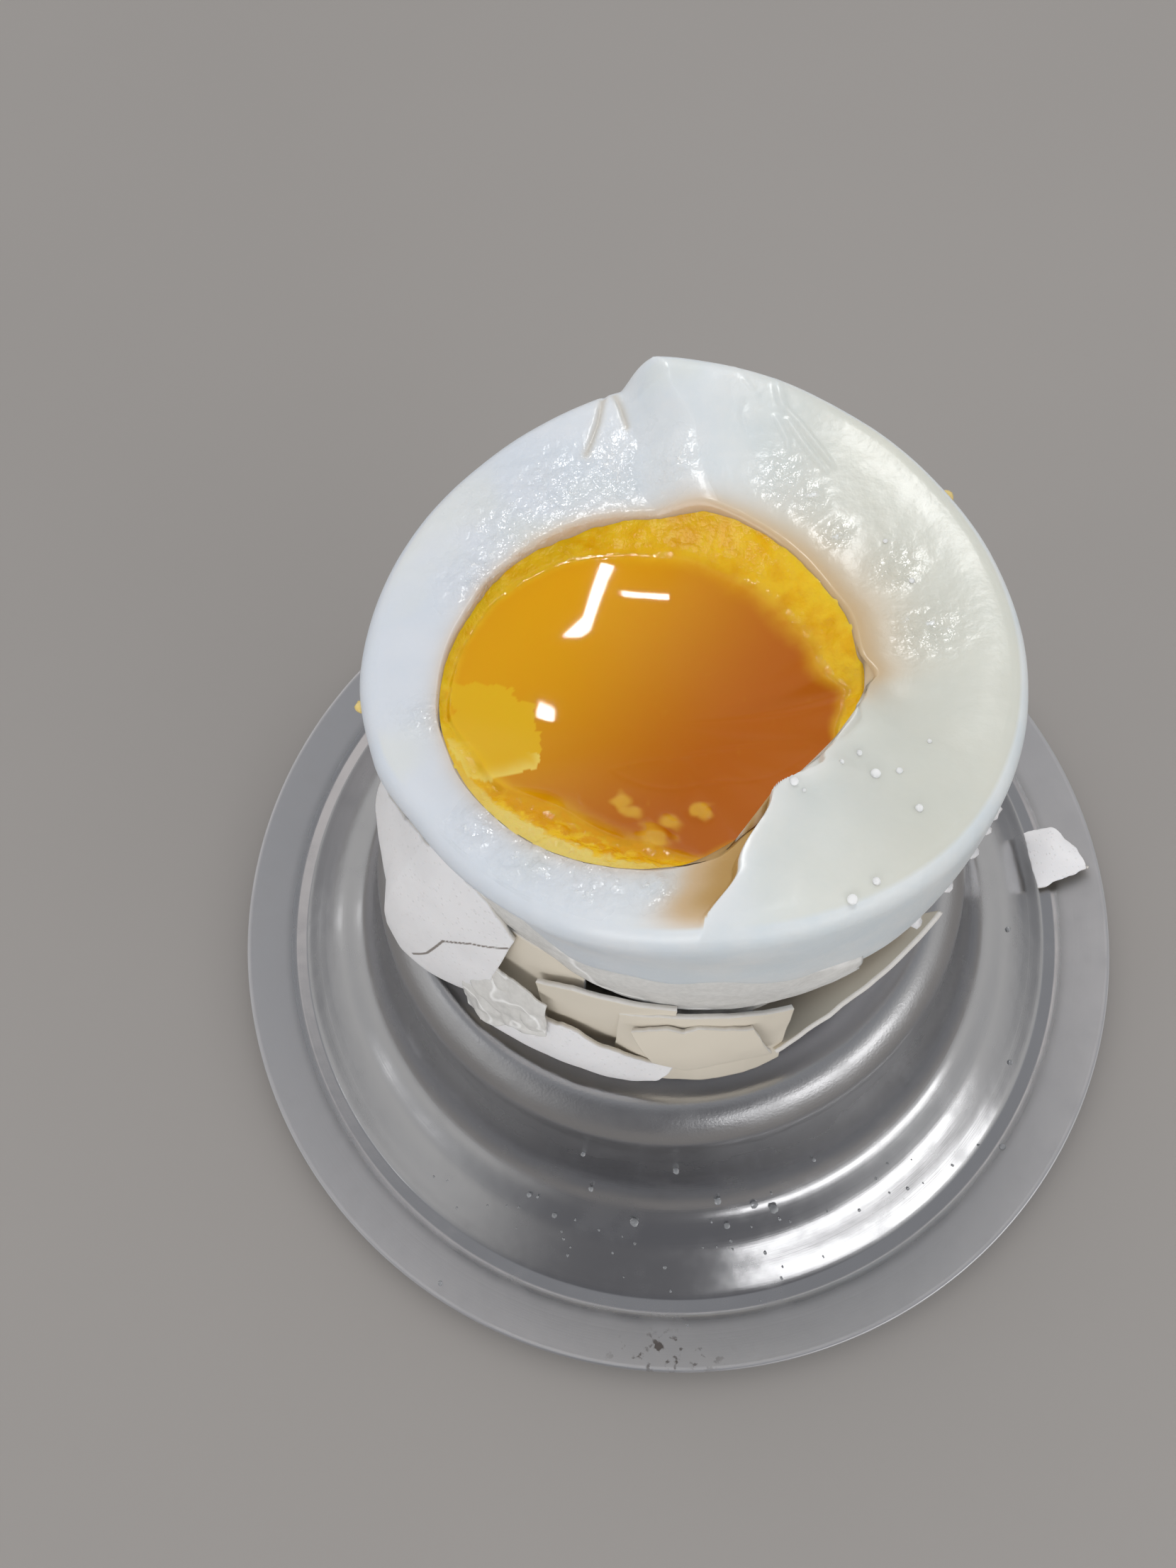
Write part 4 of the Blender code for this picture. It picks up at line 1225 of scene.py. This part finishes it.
class BuildWhite(Operator):
    """Build the set white, torn open on two levels"""
    bl_idname = "egg.white"
    bl_label = "White"

    def execute(self, context):
        sizes = context.scene.egg_sizes
        piece = make_white(Egg(sizes), sizes.fillet / MM, white_finish(sizes))
        settle(piece, "egg_white", "egg_white")
        return {"FINISHED"}


class BuildYolk(Operator):
    """Build the runny yolk with its wall of set yolk"""
    bl_idname = "egg.yolk"
    bl_label = "Yolk"

    def execute(self, context):
        sizes = context.scene.egg_sizes
        piece = make_yolk(Egg(sizes), sizes.fillet / MM, yolk_finish(sizes))
        settle(piece, "egg_yolk", "egg_yolk")
        return {"FINISHED"}


class BuildShellBase(Operator):
    """Build the shell that is still round the lower half of the egg"""
    bl_idname = "egg.shell_base"
    bl_label = "Shell round the egg"

    def execute(self, context):
        shell = context.scene.shell_sizes
        piece = make_shell_base(Egg(context.scene.egg_sizes), shell.thickness / MM,
                                shell_materials(shell))
        settle(piece, "shell", "shell_base")
        return {"FINISHED"}


class BuildFragments(Operator):
    """Build the loose pieces of shell between the egg and the lip, and the fallen flake"""
    bl_idname = "egg.fragments"
    bl_label = "Loose shell"

    def execute(self, context):
        shell = context.scene.shell_sizes
        egg = Egg(context.scene.egg_sizes)
        finishes = shell_materials(shell)
        thickness = shell.thickness / MM
        for name, edges, bulge, slot, jag, seed, turned in FRAGMENTS:
            sides = [finishes[k] for k in (1, 0, 2)] if turned else finishes
            crack = PLATE_CRACK if name == "plate_left" else None
            piece = make_fragment(egg, name, edges, bulge, sides, thickness, jag, seed,
                                  crack=crack)
            settle(piece, slot, "shell_" + name)
        settle(make_flake(thickness, finishes), "shell", "shell_flake")
        return {"FINISHED"}


class BuildMembranes(Operator):
    """Build the torn membranes that cling to the near side"""
    bl_idname = "egg.membranes"
    bl_label = "Membranes"

    def execute(self, context):
        shell = context.scene.shell_sizes
        egg = Egg(context.scene.egg_sizes)
        skin = membrane_finish(shell, "membrane", 0.0048)
        film = membrane_finish(shell, "membrane_film", 0.007)
        thickness = shell.membrane_thickness / MM
        flap = make_fragment(egg, "membrane_flap", MEMBRANE_FLAP, 0.2, [skin] * 3, thickness,
                             0.3, 171, 0.34)
        settle(flap, "membrane", "shell_membrane")
        collar = make_fragment(egg, "membrane_collar", COLLAR, 0.15, [film] * 3, thickness,
                               0.25, 181, 0.05)
        settle(collar, "membrane")
        return {"FINISHED"}


class BuildCrumbs(Operator):
    """Build the salt on the saucer, beads on the white and bits stuck to the egg"""
    bl_idname = "egg.crumbs"
    bl_label = "Salt, beads and crumbs"

    def execute(self, context):
        egg = Egg(context.scene.egg_sizes)
        grains = [on_saucer(lerp(-150.0, -20.0, a), lerp(27.5, 38.5, b), lerp(0.07, 0.18, c * d),
                            0.5) for a, b, c, d in scatter(5, SALT_COUNT)]
        settle(make_grains("salt_grains", grains, crystal_finish("salt"), 201), "egg_white")
        drops = [on_saucer(azimuth, reach, size, 0.3) for azimuth, reach, size in SPLASHES]
        settle(make_grains("splashes", drops, crystal_finish("splash"), 221, 0.8, 0.25),
               "egg_white")
        beads = []
        for x, y, size in BEADS:
            top = float(egg.cut(np.array(x), np.array(y)))
            beads.append((*egg.placed((x, y, top + 0.05)), size))
        settle(make_grains("water_beads", beads, droplet_finish(), 231, 0.55, 0.1), "egg_white")
        bits = []
        for azimuth, height, size in BITS:
            place = egg.beside(np.array([azimuth]), np.array([height]), np.array([0.1]))[0]
            bits.append((*place, size))
        outside = shell_materials(context.scene.shell_sizes)[0]
        settle(make_grains("shell_bits", bits, outside, 251, 1.0, 0.6), "shell")
        drips = []
        for azimuth, drop, size in DRIPS:
            x, y, z = (float(v[0]) for v in egg.rim(np.radians([azimuth]), DRIP_ROUNDING))
            drips.append((*egg.placed((x, y, z - drop)), size))
        settle(make_grains("dried_drips", drips, spilt_yolk_finish(context.scene.egg_sizes), 271,
                           0.7, 0.3), "egg_yolk")
        return {"FINISHED"}


# Pieces that the food lamps light; the steel and what lies on it keep their reflections.
FOOD = ("white", "yolk", "base_shell", "plate_left", "wall_left", "wall_middle", "plate_front",
        "wall_front", "shard_front", "strip_right", "flake", "membrane_flap", "membrane_collar",
        "water_beads", "shell_bits", "dried_drips")
# Lamps: name, azimuth, elevation, size, power, its share, and whether it lights only the food.
LAMPS = (("window", 72.5, 67.0, (0.019, 0.20), "key_power", 1.0, True),
         ("lamp_high", 88.0, 70.3, (0.025, 0.014), "key_power", 0.08, True),
         ("lamp_far", 75.0, 42.6, (0.022, 0.014), "key_power", 0.07, True),
         ("near_fill", -112.0, 25.0, (0.34, 0.24), "fill_power", 1.5, True),
         ("near_window", -50.0, 14.0, (0.50, 0.10), "fill_power", 0.7, False),
         ("left_lamp", -149.0, 37.0, (0.035, 0.08), "fill_power", 0.026, False),
         ("left_pane", -163.0, 32.0, (0.030, 0.07), "fill_power", 0.028, False),
         ("far_pane", 169.0, 7.0, (0.03, 0.10), "fill_power", 0.014, False))
LAMP_DISTANCE = 0.5
# The lamps face this point, inside the egg.
LAMP_AIM = Vector((0.0, 0.0, 0.04))
# Half the width of the floor, in millimetres.
FLOOR_REACH = 1500.0


def add_softbox(name, azimuth, elevation, size, power):
    """A rectangular lamp that faces the egg, at angles in degrees round it."""
    lamp = bpy.data.lights.new(name, "AREA")
    lamp.shape = "RECTANGLE"
    lamp.size, lamp.size_y = size
    lamp.energy = power
    made = bpy.data.objects.new(name, lamp)
    bpy.context.scene.collection.objects.link(made)
    flat, tilt = math.radians(azimuth), math.radians(elevation)
    ray = Vector((math.cos(flat) * math.cos(tilt), math.sin(flat) * math.cos(tilt),
                  math.sin(tilt)))
    made.location = LAMP_AIM + LAMP_DISTANCE * ray
    made.rotation_euler = (-ray).to_track_quat("-Z", "Y").to_euler()
    return made


class BuildStage(Operator):
    """Build the pale floor, the soft light and the camera"""
    bl_idname = "egg.stage"
    bl_label = "Stage"

    def execute(self, context):
        stage = context.scene.stage_sizes
        w = Wires("floor")
        cloud = w.noise(0.05, 3.0)
        tone = w.blend(cloud, tuple(stage.floor), tuple(0.96 * c for c in stage.floor))
        finish = w.finish(Base_Color=tone, Roughness=0.75 + 0.1 * cloud)
        reach = FLOOR_REACH
        corners = [(-reach, -reach, 0.0), (reach, -reach, 0.0), (reach, reach, 0.0),
                   (-reach, reach, 0.0)]
        add_object("floor", corners, [(0, 1, 2, 3)], [finish])
        food = bpy.data.collections.new("food")
        for piece in context.scene.objects:
            if piece.type == "MESH" and piece.name in FOOD:
                food.objects.link(piece)
        for name, azimuth, elevation, size, power, share, food_only in LAMPS:
            lamp = add_softbox(name, azimuth, elevation, size, share * getattr(stage, power))
            if food_only:
                lamp.light_linking.receiver_collection = food
        self.light_room(stage)
        self.place_camera(context, stage)
        return {"FINISHED"}

    @staticmethod
    def light_room(stage):
        """A soft room: bright far walls, dimmer overhead and on the near side."""
        w = Wires("room", bpy.data.worlds, "Generated")
        up = w.ramp(w.z, [(0.0, (0.85, 0.85, 0.85)), (0.35, (1.0, 0.99, 0.97)),
                          (0.72, (0.66, 0.67, 0.69)), (1.0, (0.50, 0.51, 0.54))])
        near = w.y.between(-0.15, -0.75) * w.x.absolute().between(0.75, 0.30)
        shade = w.blend(near * 0.85, up, (0.16, 0.16, 0.18))
        wall = (w.x * -0.22 + w.y * 0.49 + w.z * 0.84).between(0.90, 0.985)
        shade = w.blend(wall, shade, (1.35, 1.28, 1.25))
        back = w.node("ShaderNodeBackground", None, {"Color": shade, "Strength": stage.world})
        w.node("ShaderNodeOutputWorld", None, {"Surface": back.outputs[0]})
        bpy.context.scene.world = w.made
        bpy.context.scene.view_settings.view_transform = "Standard"

    @staticmethod
    def place_camera(context, stage):
        camera = bpy.data.cameras.new("camera")
        camera.lens = stage.lens
        camera.sensor_width = 36.0
        camera.sensor_fit = "AUTO"
        camera.clip_start = 0.005
        made = bpy.data.objects.new("camera", camera)
        context.scene.collection.objects.link(made)
        turn = (Matrix.Rotation(stage.yaw, 3, "Y") @ Matrix.Rotation(stage.pitch, 3, "X")
                @ Matrix.Rotation(stage.roll, 3, "Z"))
        made.matrix_world = Matrix.Translation(Vector(stage.camera)) @ turn.to_4x4()
        context.scene.camera = made


class EggPanel(Panel):
    """Lists the egg's sizes, colours and building steps"""
    bl_idname = "VIEW3D_PT_egg_in_a_cup"
    bl_label = "Egg in a cup"
    bl_space_type = "VIEW_3D"
    bl_region_type = "UI"
    bl_category = "Egg"

    def draw(self, context):
        for title, group, operators in SECTIONS:
            box = self.layout.box()
            box.label(text=title)
            sizes = getattr(context.scene, group)
            for key in sizes.__annotations__:
                box.prop(sizes, key)
            for operator in operators:
                box.operator(operator.bl_idname)


GROUPS = {"cup_sizes": CupSizes, "egg_sizes": EggSizes, "shell_sizes": ShellSizes,
          "stage_sizes": StageSizes}
OPERATORS = (BuildCup, BuildWhite, BuildYolk, BuildShellBase, BuildFragments, BuildMembranes,
             BuildCrumbs, BuildStage)
SECTIONS = (("Cup", "cup_sizes", (BuildCup,)),
            ("Egg", "egg_sizes", (BuildWhite, BuildYolk, BuildCrumbs)),
            ("Shell", "shell_sizes", (BuildShellBase, BuildFragments, BuildMembranes)),
            ("Stage", "stage_sizes", (BuildStage,)))


def register():
    for kind in (*GROUPS.values(), *OPERATORS, EggPanel):
        bpy.utils.register_class(kind)
    for name, group in GROUPS.items():
        setattr(bpy.types.Scene, name, PointerProperty(type=group))


def unregister():
    for name in GROUPS:
        delattr(bpy.types.Scene, name)
    for kind in (EggPanel, *reversed(OPERATORS), *GROUPS.values()):
        bpy.utils.unregister_class(kind)


def main():
    register()
    for operator in OPERATORS:
        group, name = operator.bl_idname.split(".")
        getattr(getattr(bpy.ops, group), name)()


if __name__ == "__main__":
    main()
